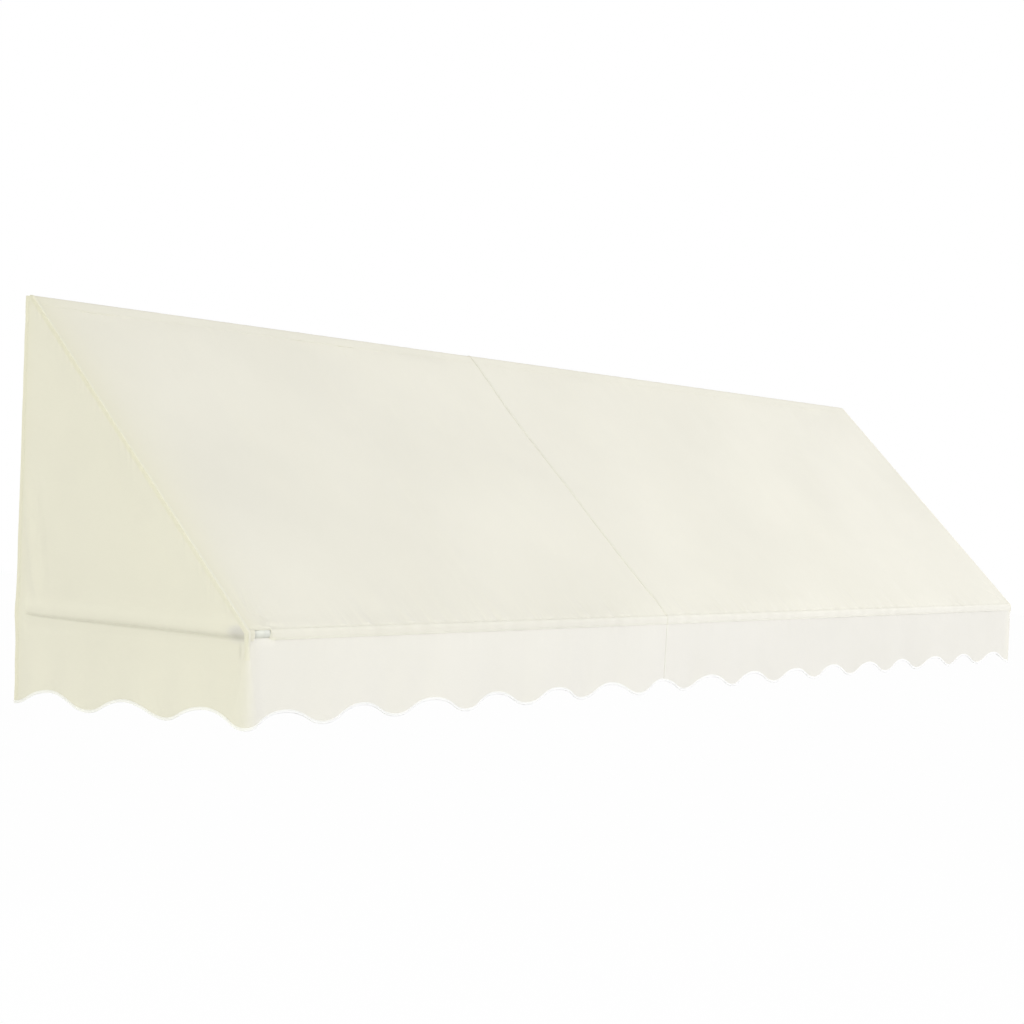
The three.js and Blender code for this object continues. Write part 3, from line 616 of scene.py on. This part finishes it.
def roof_sheet(name, low, high, raise_by, step):
    run_marks = (
        (SLOPE_START + SLEEVE_RUN, 0.006, STITCH_STEP),
        (SLOPE_START + POCKET_RUN, 0.007, STITCH_STEP),
        (SLOPE_START + SLOPE, 0.012, 0.0025),
        (roof_section.length - 0.003, 0.006, STITCH_STEP),
        (SLOPE_START - WRAP / 2, WRAP / 2, 0.002),
    )
    edges = [(SEAM_X, 0.010, STITCH_STEP)]
    edges += [(b + side * WINDOW_HALF, 0.0005, 0.0005) for b in BRACKETS for side in (-1, 1)]
    edges += [(side * (HALF - 0.004), 0.0055, 0.0011) for side in (-1, 1)]
    edges += [(x, 0.0005, 0.0005) for x in (-HALF + CORNER_FLAP, -POCKET_END)]
    xs = lines_between(low, high, step, *edges)
    ts = lines_between(0, roof_section.length, 0.012, *run_marks)
    x, t = np.meshgrid(xs, ts, indexing="ij")
    points, normals = surface(lambda a, b: roof_place(a, b, raise_by), x, t)
    middle_x = (xs[1:] + xs[:-1])[:, None] / 2
    middle_t = (ts[1:] + ts[:-1])[None, :] / 2
    window_from = 0.004
    window_to = SLOPE_START - math.radians(105 - slope_angle) * ROUND_TUBE
    window = (middle_t > window_from) & (middle_t < window_to)
    keep = np.ones((len(xs) - 1, len(ts) - 1), bool)
    for bracket in BRACKETS:
        keep &= ~((abs(middle_x - bracket) < WINDOW_HALF) & window)
    beside_pocket = (middle_x > -HALF + CORNER_FLAP) & (middle_x < -POCKET_END)
    keep &= ~(beside_pocket & (middle_t > SLOPE_START + SLOPE))
    flat = np.stack([x, t], axis=-1)
    return shell(name, points, normals, flat, roof_tone(x, t), roof_warmth(x, t), keep=keep)


# Pocket lining behind the front rail

POCKET_LOW = FRONT + [ROUND_TUBE - 0.0022, -TAIL + 0.001]
POCKET_HIGH = on_slope(POCKET_RUN - 0.003, ROUND_TUBE - 0.0011)
lining_from = tangent_angles(FRONT, LINING, POCKET_HIGH)[1]
lining_to = tangent_angles(FRONT, LINING, POCKET_LOW)[0] + 360
lining_section = Section(POCKET_HIGH, arc(FRONT, LINING, lining_from, lining_to), POCKET_LOW)


def lining_sheet(name, low, high):
    xs = lines_between(low, high, 0.02)
    ts = lines_between(0, lining_section.length, 0.003)
    x, t = np.meshgrid(xs, ts, indexing="ij")

    def place(a, b):
        out, up = lining_section.place(b, -0.0004 * gather_field(a, 0.0))
        return np.stack([a, tucked_in(a, lining_section.length - b) - out, up], axis=-1)

    points, normals = surface(place, x, t)
    return shell(name, points, -normals, np.stack([x, t], axis=-1), thickness=0.0006)


# Skirt: the wings and the valance, as one function of the place along the path and the height


def scallop_height(along, pitch):
    slope = 2 * math.atan(2 * SCALLOP_DEPTH / pitch)
    tip_half = TIP_SHARE * pitch / 2
    tip_radius = tip_half / math.sin(slope)
    arch_radius = (pitch / 2 - tip_half) / math.sin(slope)
    from_tip = np.abs(along - pitch * np.round(along / pitch))
    near = tip_radius - np.sqrt(np.maximum(tip_radius**2 - from_tip**2, 0))
    from_arch = pitch / 2 - from_tip
    far = SCALLOP_DEPTH - arch_radius + np.sqrt(np.maximum(arch_radius**2 - from_arch**2, 0))
    return np.where(from_tip <= tip_half, near, far)


def from_wall(q):
    """Length of the path to the nearer of its two ends at the wall."""
    return np.minimum(q, AROUND - q)


def at_end(near, side):
    """The place on the path at a length from the left or the right end's wall."""
    return near if side < 0 else AROUND - near


edge_wander = ripples(21, 8, 0.2, 0.7, 0.0, 0.01)


def edge_level(q):
    """Height of the scalloped edge at a place along the path."""
    q = np.asarray(q, float)
    near = from_wall(q)
    wing = scallop_height(LEG - near, LEG / WING_SCALLOPS)
    wing = wing + 0.008 * bell(AROUND - LEG - q, -0.055, 0.035)
    front = scallop_height(near - LEG, 2 * HALF / FRONT_SCALLOPS)
    return TIP_LEVEL + np.where(near < LEG, wing, front) + 0.0012 * edge_wander(q, 0.0)


def wing_top(out):
    """Height of a wing's upper edge."""
    radius = ROUND_TUBE - 0.0006
    lead = TOP + radius * OFF
    line = lead[1] + (out - lead[0]) * DOWN[1] / DOWN[0]
    crown = np.sqrt(np.maximum(radius**2 - (out - TOP[0]) ** 2, 0))
    nose = FRONT[1] + np.sqrt(np.maximum(radius**2 - (out - FRONT[0]) ** 2, 1e-9))
    top = np.where(out < lead[0], crown, line)
    top = np.where(out < TOP[0], radius, top)
    return np.where(out > FRONT[0] + radius * OFF[0], nose, top)


wing_swell = ripples(31, 8, 0.25, 0.6)
wing_small = ripples(33, 9, 0.07, 0.16)
front_wave = ripples(37, 7, 0.35, 0.9, 0.0, 0.12)
front_small = ripples(39, 8, 0.10, 0.24, 0.0, 0.25)
seam_field = ripples(43, 10, 0.02, 0.045, 0.0, 0.05)


def crease_level(out):
    """Height of the crease along the arm's lower side, which climbs towards the wall."""
    return -DROP + 0.006 - 0.021 * out + 0.006 * np.exp(-np.maximum(out - 0.03, 0) / 0.02)


def wing_lift(out, z, seed_shift):
    """How far a wing's cloth stands out from its plane."""
    below = np.clip((-DROP - z) / VALANCE, 0, 1)
    height = wing_top(out) - z
    above_arm = np.clip(z + DROP, 0, 1)
    inside = smooth(height, 0.0, 0.12) * smooth(above_arm, 0.005, 0.10) * smooth(out, 0.01, 0.16)
    lift = -SAG * inside
    lift += 0.0016 * inside * wing_swell(out + seed_shift, z)
    lift += 0.0005 * smooth(height, 0.0, 0.05) * wing_small(out + seed_shift, z)
    beside_seam = smooth(height, 0.001, 0.016) * np.exp(-np.maximum(height, 0) / 0.022)
    ruck = seam_field(out * 1.43 + seed_shift, 0.0)
    lift += 0.0014 * ruck * beside_seam * smooth(above_arm, 0.0, 0.06)
    near_socket = smooth(out, 0.030, 0.045)
    arm = bell(z, -DROP + 0.002, 0.016)
    over_arm = bell(z, -DROP + 0.034, 0.022) * smooth(height, 0.002, 0.045)
    beside_arm = over_arm + 0.7 * bell(z, -DROP - 0.032, 0.022)
    lift += (0.0016 * arm - 0.0030 * beside_arm) * near_socket
    crease = bell(z, crease_level(out), GROOVE)
    lift -= 0.0016 * crease * near_socket * smooth(LEG - out, 0.0, 0.03)
    fold = (z + 0.40) * 0.17 + out - 0.018
    reach = smooth(z, -0.72, -0.62) * (1 - smooth(z, -0.46, -0.36))
    lift += (0.0030 * bell(fold, 0.0, 0.014) - 0.0024 * bell(fold, 0.030, 0.016)) * reach
    pull = bell(z, -DROP + 0.012, 0.03) * bell(out, 0.0, 0.045)
    lift += 0.0030 * pull
    lift = lift + 0.0006 * (1 - smooth(out, WALL_HEM, 0.0135)) - 0.0005 * bell(out, WALL_HEM, 0.0013)
    hang = 0.0026 * below * front_small(out * 1.1 + seed_shift, 0.4 * z)
    return lift + hang - 0.002 * below


def front_lift(x, z):
    """How far the valance stands out from its plane."""
    fall = np.clip((VALANCE_TOP - z) / (VALANCE - TAIL), 0, 1)
    below = VALANCE_TOP - z
    lift = (0.0050 * fall**1.1) * front_wave(x, z) + (0.0014 * fall + 0.0001) * front_small(x, z)
    lift += 0.0003 * gather_field(x + 3, 0.0) * np.exp(-below / 0.03) * smooth(below, 0.0, 0.006)
    swung_in = smooth(x, 0.2, 1.6) * (1 - 0.7 * smooth(x, 1.8, 2.0))
    lift -= (0.003 + 0.011 * swung_in) * fall
    for row in SEAM_ROWS:
        lift -= 0.0002 * bell(x, SEAM_X + row, SEAM_GROOVE)
    lift += 0.0004 * bell(x, SEAM_X, 0.0065)
    return lift - tucked_in(x, below)


def skirt_place(q, z, raise_by=0.0):
    q, z = np.broadcast_arrays(np.asarray(q, float), np.asarray(z, float))
    mirrored = q > AROUND / 2
    near = np.where(mirrored, AROUND - q, q)
    drop = np.clip((-DROP - z) / VALANCE, 0, 1)
    radius = CORNER_TOP + (np.where(mirrored, RIGHT_CORNER_FOOT, CORNER_FOOT) - CORNER_TOP) * drop**1.3
    past = near - LEG
    turn = np.clip((past + radius) / (2 * radius), 0, 1) * math.pi / 2
    x = -HALF + np.where(past > radius, past, radius * (1 - np.cos(turn)))
    out = FACE + np.where(past < -radius, past, radius * (np.sin(turn) - 1))
    side = np.where(mirrored, -1.0, 1.0)
    on_front = smooth(past, -0.03, 0.03)
    wing = wing_lift(np.minimum(out, FACE), z, np.where(mirrored, 3.7, 0.0))
    front = front_lift(x * side, z)
    lift = wing * (1 - on_front) + front * on_front
    lift = lift + 0.004 * drop * bell(past, 0.0, 0.035) + raise_by
    level = z - 0.004 * drop * bell(past, 0.0, 0.05)
    return np.stack([(x - np.cos(turn) * lift) * side, -(out + np.sin(turn) * lift), level], axis=-1)


def skirt_surface(q, z, raise_by=0.0):
    """Points and outward normals of the skirt's outer face."""
    points, inward = surface(lambda a, b: skirt_place(a, b, raise_by), q, z)
    return points, -inward


def over_elbow(past, z):
    """1 where a wing's cloth lies on the elbow, and 0 elsewhere."""
    pressed = ((past + 0.026) / 0.029) ** 2 + ((z + DROP - 0.001) / 0.016) ** 2
    return np.exp(-(pressed**1.5)) * (1 - smooth(past, -0.008, 0.0))


def skirt_tone(q, z):
    near = from_wall(q)
    past = near - LEG
    on_wing = past < 0
    out = near + WALL_GAP
    along_arm = on_wing * smooth(out, 0.03, 0.05)
    crease = crease_level(out)
    below = np.maximum(crease - z, 0)
    above = np.maximum(z - crease, 0)
    # Painted shade along the crease under the arm, a painted shadow below it and a painted highlight over
    # the arm
    width = 0.55 + 0.45 * smooth(out, 0.03, 0.4)
    dark = np.exp(-((above / (0.0085 * width)) ** 2) - (below / (0.0045 * width)) ** 2)
    tone = 1 - 0.37 * dark * along_arm
    tone -= 0.05 * bell(z, crease - 0.010, 0.012) * along_arm
    tone += 0.09 * bell(z, crease + 0.026, 0.014) * along_arm
    # Painted shade where the elbow shows through the wing's cloth
    tone -= 0.45 * over_elbow(past, z)
    # Painted light on the valance at the left, turning to painted shade towards the right
    on_front = smooth(past, 0.0, 0.06)
    tone += on_front * (0.075 - 0.16 * smooth(q - LEG, 0.4, 3.2))
    # Painted shadow on the wing beside each corner, below the elbow
    tone -= 0.30 * bell(z, -DROP - 0.036, 0.014) * bell(past, -0.022, 0.004)
    # Painted shade in the groove of the wall hem's stitching
    tone -= 0.04 * on_wing * bell(out, WALL_HEM, 0.0012)
    x = q - LEG - HALF
    # Painted shade in the grooves of the cloth seam, and painted light beside its step, against its
    # shadow
    for row in SEAM_ROWS:
        tone -= 0.02 * bell(x, SEAM_X + row, 0.0014)
    return tone + 0.10 * bell(x, SEAM_X - 0.002, 0.007)


# The skirt's warmth paints the tint of light through the cloth: yellow on the double wall hem and near
# the upper edge, grey where the elbow shows through, and bluer on the single valance, more so towards the
# right
def skirt_warmth(q, z):
    near = from_wall(q)
    past = near - LEG
    on_front = smooth(past, -0.03, 0.05)
    hem = 0.9 * np.exp(-near / 0.012)
    edge = 0.15 * np.exp(-np.maximum(wing_top(near + WALL_GAP) - z, 0) / 0.02)
    thin = -0.45 - 0.22 * smooth(q - LEG, 0.3, 2.0)
    return (1 - on_front) * (hem + edge - 1.6 * over_elbow(past, z)) + on_front * thin


# Rows of the skirt's grid, and the heights of the finer bands by the arm and the upper edge
LOWER_ROWS = 26
NECK_ROWS = 7
ARM_ROWS = 14
ARM_BAND = 0.034
UPPER_ROWS = 52
EDGE_ROWS = 13
EDGE_BAND = 0.036


def skirt_sheet(name, low, high, step, marks, raise_by=0.0, with_triangle=False):
    qs = lines_between(low, high, step, *marks)
    edge = edge_level(qs) + 0.001
    share = np.linspace(0, 1, LOWER_ROWS)[None, :]
    rows = [edge[:, None] * (1 - share) + VALANCE_TOP * share]
    if with_triangle:
        top = np.maximum(wing_top(from_wall(qs) + WALL_GAP), -DROP + 0.0003)
        neck = np.linspace(VALANCE_TOP, -DROP, NECK_ROWS)[None, 1:]
        rows.append(np.repeat(neck, len(qs), axis=0))
        height = (top + DROP)[:, None]
        low_band = np.minimum(ARM_BAND, 0.33 * height)
        high_band = np.minimum(EDGE_BAND, 0.33 * height)
        starts = (0 * height, low_band, height - high_band, height)
        for i, count in enumerate((ARM_ROWS, UPPER_ROWS, EDGE_ROWS)):
            share = np.linspace(0, 1, count)[None, 1:]
            rows.append(-DROP + starts[i] * (1 - share) + starts[i + 1] * share)
    z = np.concatenate(rows, axis=1)
    q = np.repeat(qs[:, None], z.shape[1], axis=1)
    points, normals = skirt_surface(q, z, raise_by)
    flat = np.stack([q, z], axis=-1)
    return shell(name, points, normals, flat, skirt_tone(q, z), skirt_warmth(q, z))


def grid_normals(points, outward):
    normals = unit(np.cross(np.gradient(points, axis=1), np.gradient(points, axis=0)))
    return normals * np.sign((normals * outward).sum() or 1.0)


# Cross-section of the binding tape: height above the edge, and how far out
TAPE_PROFILE = np.array([
    (0.0070, 0.0003), (0.0066, 0.0009), (0.0045, 0.0011), (0.0018, 0.0011), (0.0005, 0.0007),
    (0.0000, -0.0004), (0.0005, -0.0015), (0.0018, -0.0019), (0.0045, -0.0019), (0.0066, -0.0017),
    (0.0070, -0.0011),
])


def tape_sheet(name, low, high, raise_by=0.0):
    qs = lines_between(low, high, 0.007)
    q = np.repeat(qs[:, None], len(TAPE_PROFILE), axis=1)
    z = edge_level(qs)[:, None] + TAPE_PROFILE[None, :, 0]
    points, normals = skirt_surface(q, z)
    points = points + normals * (TAPE_PROFILE[None, :, 1:2] + raise_by)
    facing = grid_normals(points, normals * np.sign(TAPE_PROFILE[None, :, 1:2] + 0.0004))
    across = np.repeat(np.linspace(0, 0.016, len(TAPE_PROFILE))[None], len(qs), axis=0)
    flat = np.stack([q, across], axis=-1)
    return shell(name, points, facing, flat, thickness=0.0005, material=tape)


# Folded seam along the diagonal and down the corner


def diagonal_path():
    """Places (out, up) along a wing's upper edge, and the direction into the wing at each."""
    crown = arc(TOP, ROUND_TUBE, 100, slope_angle)
    section = Section(crown, round_front, FRONT + [ROUND_TUBE, -SEAM_STRIP_DROP])
    t = np.arange(0, section.length, 0.0022)
    inward = -section.off_at(t)
    inward = inward * np.sign((inward * np.array([-1.0, -1.0])).sum(axis=1, keepdims=True))
    return t, np.stack(section.place(t), axis=-1), inward


# Cross-section of the seam: on the roof's side how far over and how far up, then on the wing's
# side how far down from the edge and how far out.
OVER_PROFILE = np.array([
    (0.0075, 0.0001), (0.0070, 0.0007), (0.0045, 0.0010), (0.0020, 0.0011), (0.0002, 0.0008),
])
STRIP_PROFILE = np.array([
    (0.0003, 0.0010), (0.0016, 0.0012), (0.0034, 0.0012), (0.0055, 0.0010),
    (0.0074, 0.0007), (0.0088, 0.0005), (0.0097, 0.0003), (0.0105, 0.0), (0.0113, -0.0004),
])


def seam_strip(name, side):
    t, edge, inward = diagonal_path()
    into = STRIP_PROFILE[None, :, 0:1]
    flat_place = edge[:, None, :] + inward[:, None, :] * into
    near = np.clip(flat_place[..., 0], 0, FACE + 0.0002) - WALL_GAP
    base, normals = skirt_surface(at_end(near, side), flat_place[..., 1])
    ruck = 1 + 0.22 * seam_field(t[:, None] * 1.4 + side, 0 * into[..., 0])
    thin_end = (0.15 + 0.85 * smooth(t[-1] - t, 0.0, 0.05))[:, None]
    raise_by = STRIP_PROFILE[None, :, 1] * ruck * thin_end
    seams = 0.0004 * bell(into[..., 0], STRIP_ROW, 0.0008)
    on_wing = base + normals * (raise_by - seams)[..., None]
    over = OVER_PROFILE[None, :, 0] * np.ones((len(t), 1))
    off = edge[:, None, :] - inward[:, None, :] * (OVER_PROFILE[None, :, 1:2] * ruck[:, :1, None])
    on_roof = np.stack([side * (HALF - over), -off[..., 0], off[..., 1]], axis=-1)
    past_corner = LEG + over if side < 0 else AROUND - LEG - over
    on_valance, facing = skirt_surface(past_corner, off[..., 1])
    on_valance = on_valance + facing * (OVER_PROFILE[None, :, 1] * thin_end + 0.0001)[..., None]
    below_rail = smooth(-DROP - TAIL - off[..., 1], 0.0, 0.010)[..., None]
    on_roof = on_roof * (1 - below_rail) + on_valance * below_rail
    points = np.concatenate([on_roof, on_wing], axis=1)
    outward = np.concatenate([0 * on_roof + np.array([side, -1.0, 1.0]), normals], axis=1)
    facing = grid_normals(points, outward)
    across = np.concatenate([-over, np.repeat(into[..., 0], len(t), axis=0)], axis=1)
    flat = np.stack([np.repeat(t[:, None], across.shape[1], axis=1), across], axis=-1)
    # Painted shade along the strip's stitching and its lower edge; its warmth paints the yellow of light
    # through the folded strip, fading lower down
    tone = 1 - 0.04 * bell(across, STRIP_ROW, 0.001) - 0.04 * smooth(across, 0.0080, 0.0102)
    warmth = 0.75 - 0.40 * smooth(t[:, None] / t[-1] + 0 * across, 0.5, 0.95)
    return shell(name, points, facing, flat, tone, warmth, thickness=0.0004)


# Webbing loops round the arms: their radius, and their middle and half width along the arm

TIE_RING = 0.0124
TIE_OUT = 0.054
TIE_HALF = 0.01


def tie(name, side):
    turns = np.radians(np.linspace(-90, 270, 61))
    across = np.linspace(TIE_OUT - TIE_HALF, TIE_OUT + TIE_HALF, 9)
    angle, out = np.meshgrid(turns, across, indexing="ij")
    radius = TIE_RING + 0.0002 * np.cos((out - TIE_OUT) / 0.0032)
    x = side * (ARM_X + radius * np.cos(angle))
    points = np.stack([x, -out, -DROP + radius * np.sin(angle)], axis=-1)
    outward = np.stack([side * np.cos(angle), 0 * angle, np.sin(angle)], axis=-1)
    flat = np.stack([angle * TIE_RING, out], axis=-1)
    return shell(name, points, grid_normals(points, outward), flat, thickness=0.001, material=webbing)


# Stitching


def stitch_tree():
    entries = (
        ("Seam lines", "Geometry"), ("Stitch pitch", "Float", 0.0035), ("Stitch length", "Float", 0.0027),
        ("Thread width", "Float", 0.0007), ("Thread", "Material"),
    )
    results = (("Stitches", "Geometry"),)
    tree, given, result = new_group("stitch_row", "GeometryNodeTree", entries, results)
    tree.is_modifier = True
    new = tree.nodes.new
    curve = new("GeometryNodeMeshToCurve")
    points = new("GeometryNodeCurveToPoints")
    points.mode = "LENGTH"
    turn = new("FunctionNodeAlignRotationToVector")
    turn.axis = "Z"
    bead = new("GeometryNodeMeshIcoSphere")
    bead.inputs["Radius"].default_value = 0.5
    bead.inputs["Subdivisions"].default_value = 1
    size = new("ShaderNodeCombineXYZ")
    place = new("GeometryNodeInstanceOnPoints")
    real = new("GeometryNodeRealizeInstances")
    soft = new("GeometryNodeSetShadeSmooth")
    coloured = new("GeometryNodeSetMaterial")
    for source, output, target, entry in (
        (given, "Seam lines", curve, "Mesh"),
        (curve, "Curve", points, "Curve"),
        (given, "Stitch pitch", points, "Length"),
        (points, "Tangent", turn, "Vector"),
        (given, "Thread width", size, "X"),
        (given, "Thread width", size, "Y"),
        (given, "Stitch length", size, "Z"),
        (points, "Points", place, "Points"),
        (bead, "Mesh", place, "Instance"),
        (turn, "Rotation", place, "Rotation"),
        (size, "Vector", place, "Scale"),
        (place, "Instances", soft, "Geometry"),
        (soft, "Geometry", real, "Geometry"),
        (real, "Geometry", coloured, "Geometry"),
        (given, "Thread", coloured, "Material"),
        (coloured, "Geometry", result, "Stitches"),
    ):
        tree.links.new(source.outputs[output], target.inputs[entry])
    return tree


STITCH_TREE = stitch_tree()


def stitches(name, lines):
    mesh = bpy.data.meshes.new(name + "_lines")
    vertices, edges = [], []
    for line in lines:
        start = len(vertices)
        vertices += [tuple(p) for p in line]
        edges += [(start + i, start + i + 1) for i in range(len(line) - 1)]
    mesh.from_pydata(vertices, edges, [])
    guide = add_object(name + "_lines", mesh)
    modifier = guide.modifiers.new("stitch_row", "NODES")
    modifier.node_group = STITCH_TREE
    given = {s.name: s.identifier for s in STITCH_TREE.interface.items_tree if s.in_out == "INPUT"}
    modifier[given["Stitch pitch"]] = STITCH_PITCH
    modifier[given["Thread"]] = thread
    view = bpy.context.evaluated_depsgraph_get()
    made = bpy.data.meshes.new_from_object(guide.evaluated_get(view), depsgraph=view)
    bpy.data.objects.remove(guide)
    piece = add_object(name, made)
    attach(piece, "root")
    return piece


def steps_between(low, high, step=0.006):
    return np.linspace(low, high, max(2, int(abs(high - low) / step) + 1))


def roof_line(xs, run, raise_by=0.0):
    return roof_place(xs, SLOPE_START + run + 0 * xs, raise_by + THREAD_RISE)


def skirt_line(qs, z, raise_by=0.0):
    points, normals = skirt_surface(qs, z + 0 * qs)
    return points + normals * (raise_by + THREAD_RISE)


def roof_rows(low, high, raise_by):
    """The rows along the sleeve, the pocket and, where there is a pocket, its lower edge."""
    every, pocket = steps_between(low, high), steps_between(max(low, -POCKET_END), high)
    rows = [roof_line(every, run, raise_by) for run in (SLEEVE_RUN, POCKET_RUN)]
    return rows + [roof_line(pocket, TAIL_RUN, raise_by)]


def roof_seam_row(x):
    runs = steps_between(0.0, SLOPE)
    return roof_place(x + 0 * runs, SLOPE_START + runs, CLOTH_OVER + THREAD_RISE)


def valance_seam_row(row):
    z = np.linspace(VALANCE_TOP - 0.001, float(edge_level(SEAM_Q + row)) + 0.008, 40)
    return skirt_line(SEAM_Q + row + 0 * z, z, CLOTH_OVER)


def tape_row(low, high, raise_by=0.0):
    qs = steps_between(low, high, 0.004)
    points, normals = skirt_surface(qs, edge_level(qs) + TAPE_ROW)
    return points + normals * (TAPE_THREAD_RISE + raise_by)


def hem_row(side):
    z = np.linspace(TIP_LEVEL + 0.012, 0.005, 160)
    return skirt_line(at_end(HEM_ROW, side) + 0 * z, z)


def strip_row(side):
    edge, inward = diagonal_path()[1:]
    place = edge + inward * STRIP_ROW
    near = np.clip(place[:, 0], 0, FACE) - WALL_GAP
    points, normals = skirt_surface(at_end(near, side), place[:, 1])
    return points + normals * STRIP_THREAD_RISE


# Assembly of the cloth

ROOF_END = HALF - 0.0004
STITCH_END = ROOF_END - 0.006


def dress_end(end, side, roof_step, cloth_over, tape_over):
    """The cloth of one end with its stitching; it hides the model's cloth pieces of that end, and each
    new piece is attached to the root body.
    """
    corner = at_end(LEG, side)
    wing_span = sorted((at_end(0.0, side), corner))
    tape_span = sorted((corner, SEAM_Q))
    roof_span = sorted((side * ROOF_END, SEAM_X - side * SEAM_LAP))
    row_span = sorted((side * STITCH_END, SEAM_X - SEAM_LAP))
    valance_span = sorted((corner, SEAM_Q - side * SEAM_LAP))
    corner_marks = ((SEAM_Q, 0.010, STITCH_STEP), (corner, 0.04, 0.0022))
    hem_marks = ((at_end(HEM_ROW, side), 0.004, 0.0008), (corner + side * 0.02, 0.025, 0.0022))

    roof = roof_sheet("roof_cloth_" + end, *roof_span, cloth_over, roof_step)
    lining = lining_sheet("pocket_lining_" + end, *sorted((side * POCKET_END, SEAM_X)))
    valance = skirt_sheet("valance_cloth_" + end, *valance_span, VALANCE_STEP, corner_marks, cloth_over)
    wing = skirt_sheet("wing_cloth_" + end, *wing_span, WING_STEP, hem_marks, with_triangle=True)
    valance_tape = tape_sheet("binding_valance_" + end, *tape_span, tape_over)
    wing_tape = tape_sheet("binding_wing_" + end, *wing_span)
    strip = seam_strip("diagonal_seam_" + end, side)
    webbing_loop = tie("arm_tie_" + end, side)

    roof_lines = roof_rows(*row_span, cloth_over)
    valance_lines = [tape_row(*tape_span, tape_over)]
    # The right width lies on the left one, so the rows of their seam are on it
    if side > 0:
        roof_lines += [roof_seam_row(SEAM_X + row) for row in SEAM_ROWS]
        valance_lines += [valance_seam_row(row) for row in SEAM_ROWS]
    wing_lines = [hem_row(side), tape_row(*wing_span), strip_row(side)]
    roof_stitching = stitches("roof_stitching_" + end, roof_lines)
    valance_stitching = stitches("valance_stitching_" + end, valance_lines)
    wing_stitching = stitches("wing_stitching_" + end, wing_lines)

    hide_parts("roof_panel_" + end, "top_sleeve_" + end)
    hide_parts("front_pocket_" + end)
    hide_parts("valance_" + end)
    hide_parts("wing_" + end)
    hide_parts("edging_valance_" + end)
    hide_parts("edging_wing_" + end)
    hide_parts("side_seam_" + end)
    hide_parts("wing_tie_" + end)


dress_end("left", -1, roof_step=0.008, cloth_over=0.0, tape_over=0.0)
dress_end("right", 1, roof_step=0.010, cloth_over=CLOTH_OVER, tape_over=TAPE_OVER)

# Floor, world and lamps


def show_white(tree, share, plain, white, output):
    """Mixes white in where the eye, a reflection or glass meets the surface."""
    rays = tree.nodes.new("ShaderNodeLightPath")
    seen = math_node(tree, "MAXIMUM", rays.outputs["Is Camera Ray"], rays.outputs["Is Glossy Ray"])
    seen = math_node(tree, "MAXIMUM", seen, rays.outputs["Is Transmission Ray"])
    mixed = tree.nodes.new("ShaderNodeMixShader")
    feed(tree, mixed.inputs["Fac"], math_node(tree, "MULTIPLY", seen, share))
    feed(tree, mixed.inputs[1], plain)
    feed(tree, mixed.inputs[2], white)
    feed(tree, tree.nodes[output].inputs["Surface"], mixed.outputs["Shader"])


def make_floor():
    size, level = 60.0, -3.0
    mesh = bpy.data.meshes.new("floor")
    corners = [(x * size, y * size, level) for x, y in ((-1, -1), (1, -1), (1, 1), (-1, 1))]
    mesh.from_pydata(corners, [], [(0, 1, 2, 3)])
    floor = add_object("floor", mesh)
    material, tree, shader = bare_material("pale_floor", 0.9)
    shader.inputs["Base Color"].default_value = (0.8, 0.8, 0.8, 1)
    white = tree.nodes.new("ShaderNodeEmission").outputs["Emission"]
    show_white(tree, 0.985, shader.outputs["BSDF"], white, "Material Output")
    mesh.materials.append(material)


def make_world(colour, strength):
    world = bpy.data.worlds.new("studio")
    world.use_nodes = True
    bpy.context.scene.world = world
    tree = world.node_tree
    plain = tree.nodes["Background"]
    plain.inputs["Color"].default_value = (*colour, 1)
    plain.inputs["Strength"].default_value = strength
    white = tree.nodes.new("ShaderNodeBackground")
    white.inputs["Color"].default_value = (1, 1, 1, 1)
    show_white(tree, 1.0, plain.outputs["Background"], white.outputs["Background"], "World Output")


def lamp(name, place, target, size, power, colour):
    data = bpy.data.lights.new(name, "AREA")
    data.shape = "RECTANGLE"
    data.size, data.size_y = size
    data.energy = power
    data.color = colour
    made = add_object(name, data)
    made.location = place
    made.rotation_mode = "QUATERNION"
    made.rotation_quaternion = (Vector(target) - Vector(place)).to_track_quat("-Z", "Y")
    made.visible_camera = False


make_floor()
make_world((1.0, 1.0, 1.0), 0.5)
# Lamps: place, target, size, power and colour
lamp("key", (2.2, -7.6, 3.4), (0.4, -0.3, -0.4), (5.0, 3.0), 400, (0.97, 0.975, 1.0))
lamp("end_fill", (-8.8, -2.2, 0.5), (-1.8, -0.4, -0.5), (3.0, 3.0), 232, (0.975, 0.98, 0.82))
lamp("right_fill", (8.8, -2.2, 0.5), (1.8, -0.4, -0.5), (3.0, 3.0), 80, (1.0, 1.0, 0.97))
lamp("back_fill", (0.0, 7.0, -1.0), (0.0, -0.3, -0.5), (6.0, 3.0), 140, (1.0, 1.0, 1.0))

bpy.context.scene.view_settings.view_transform = "Standard"
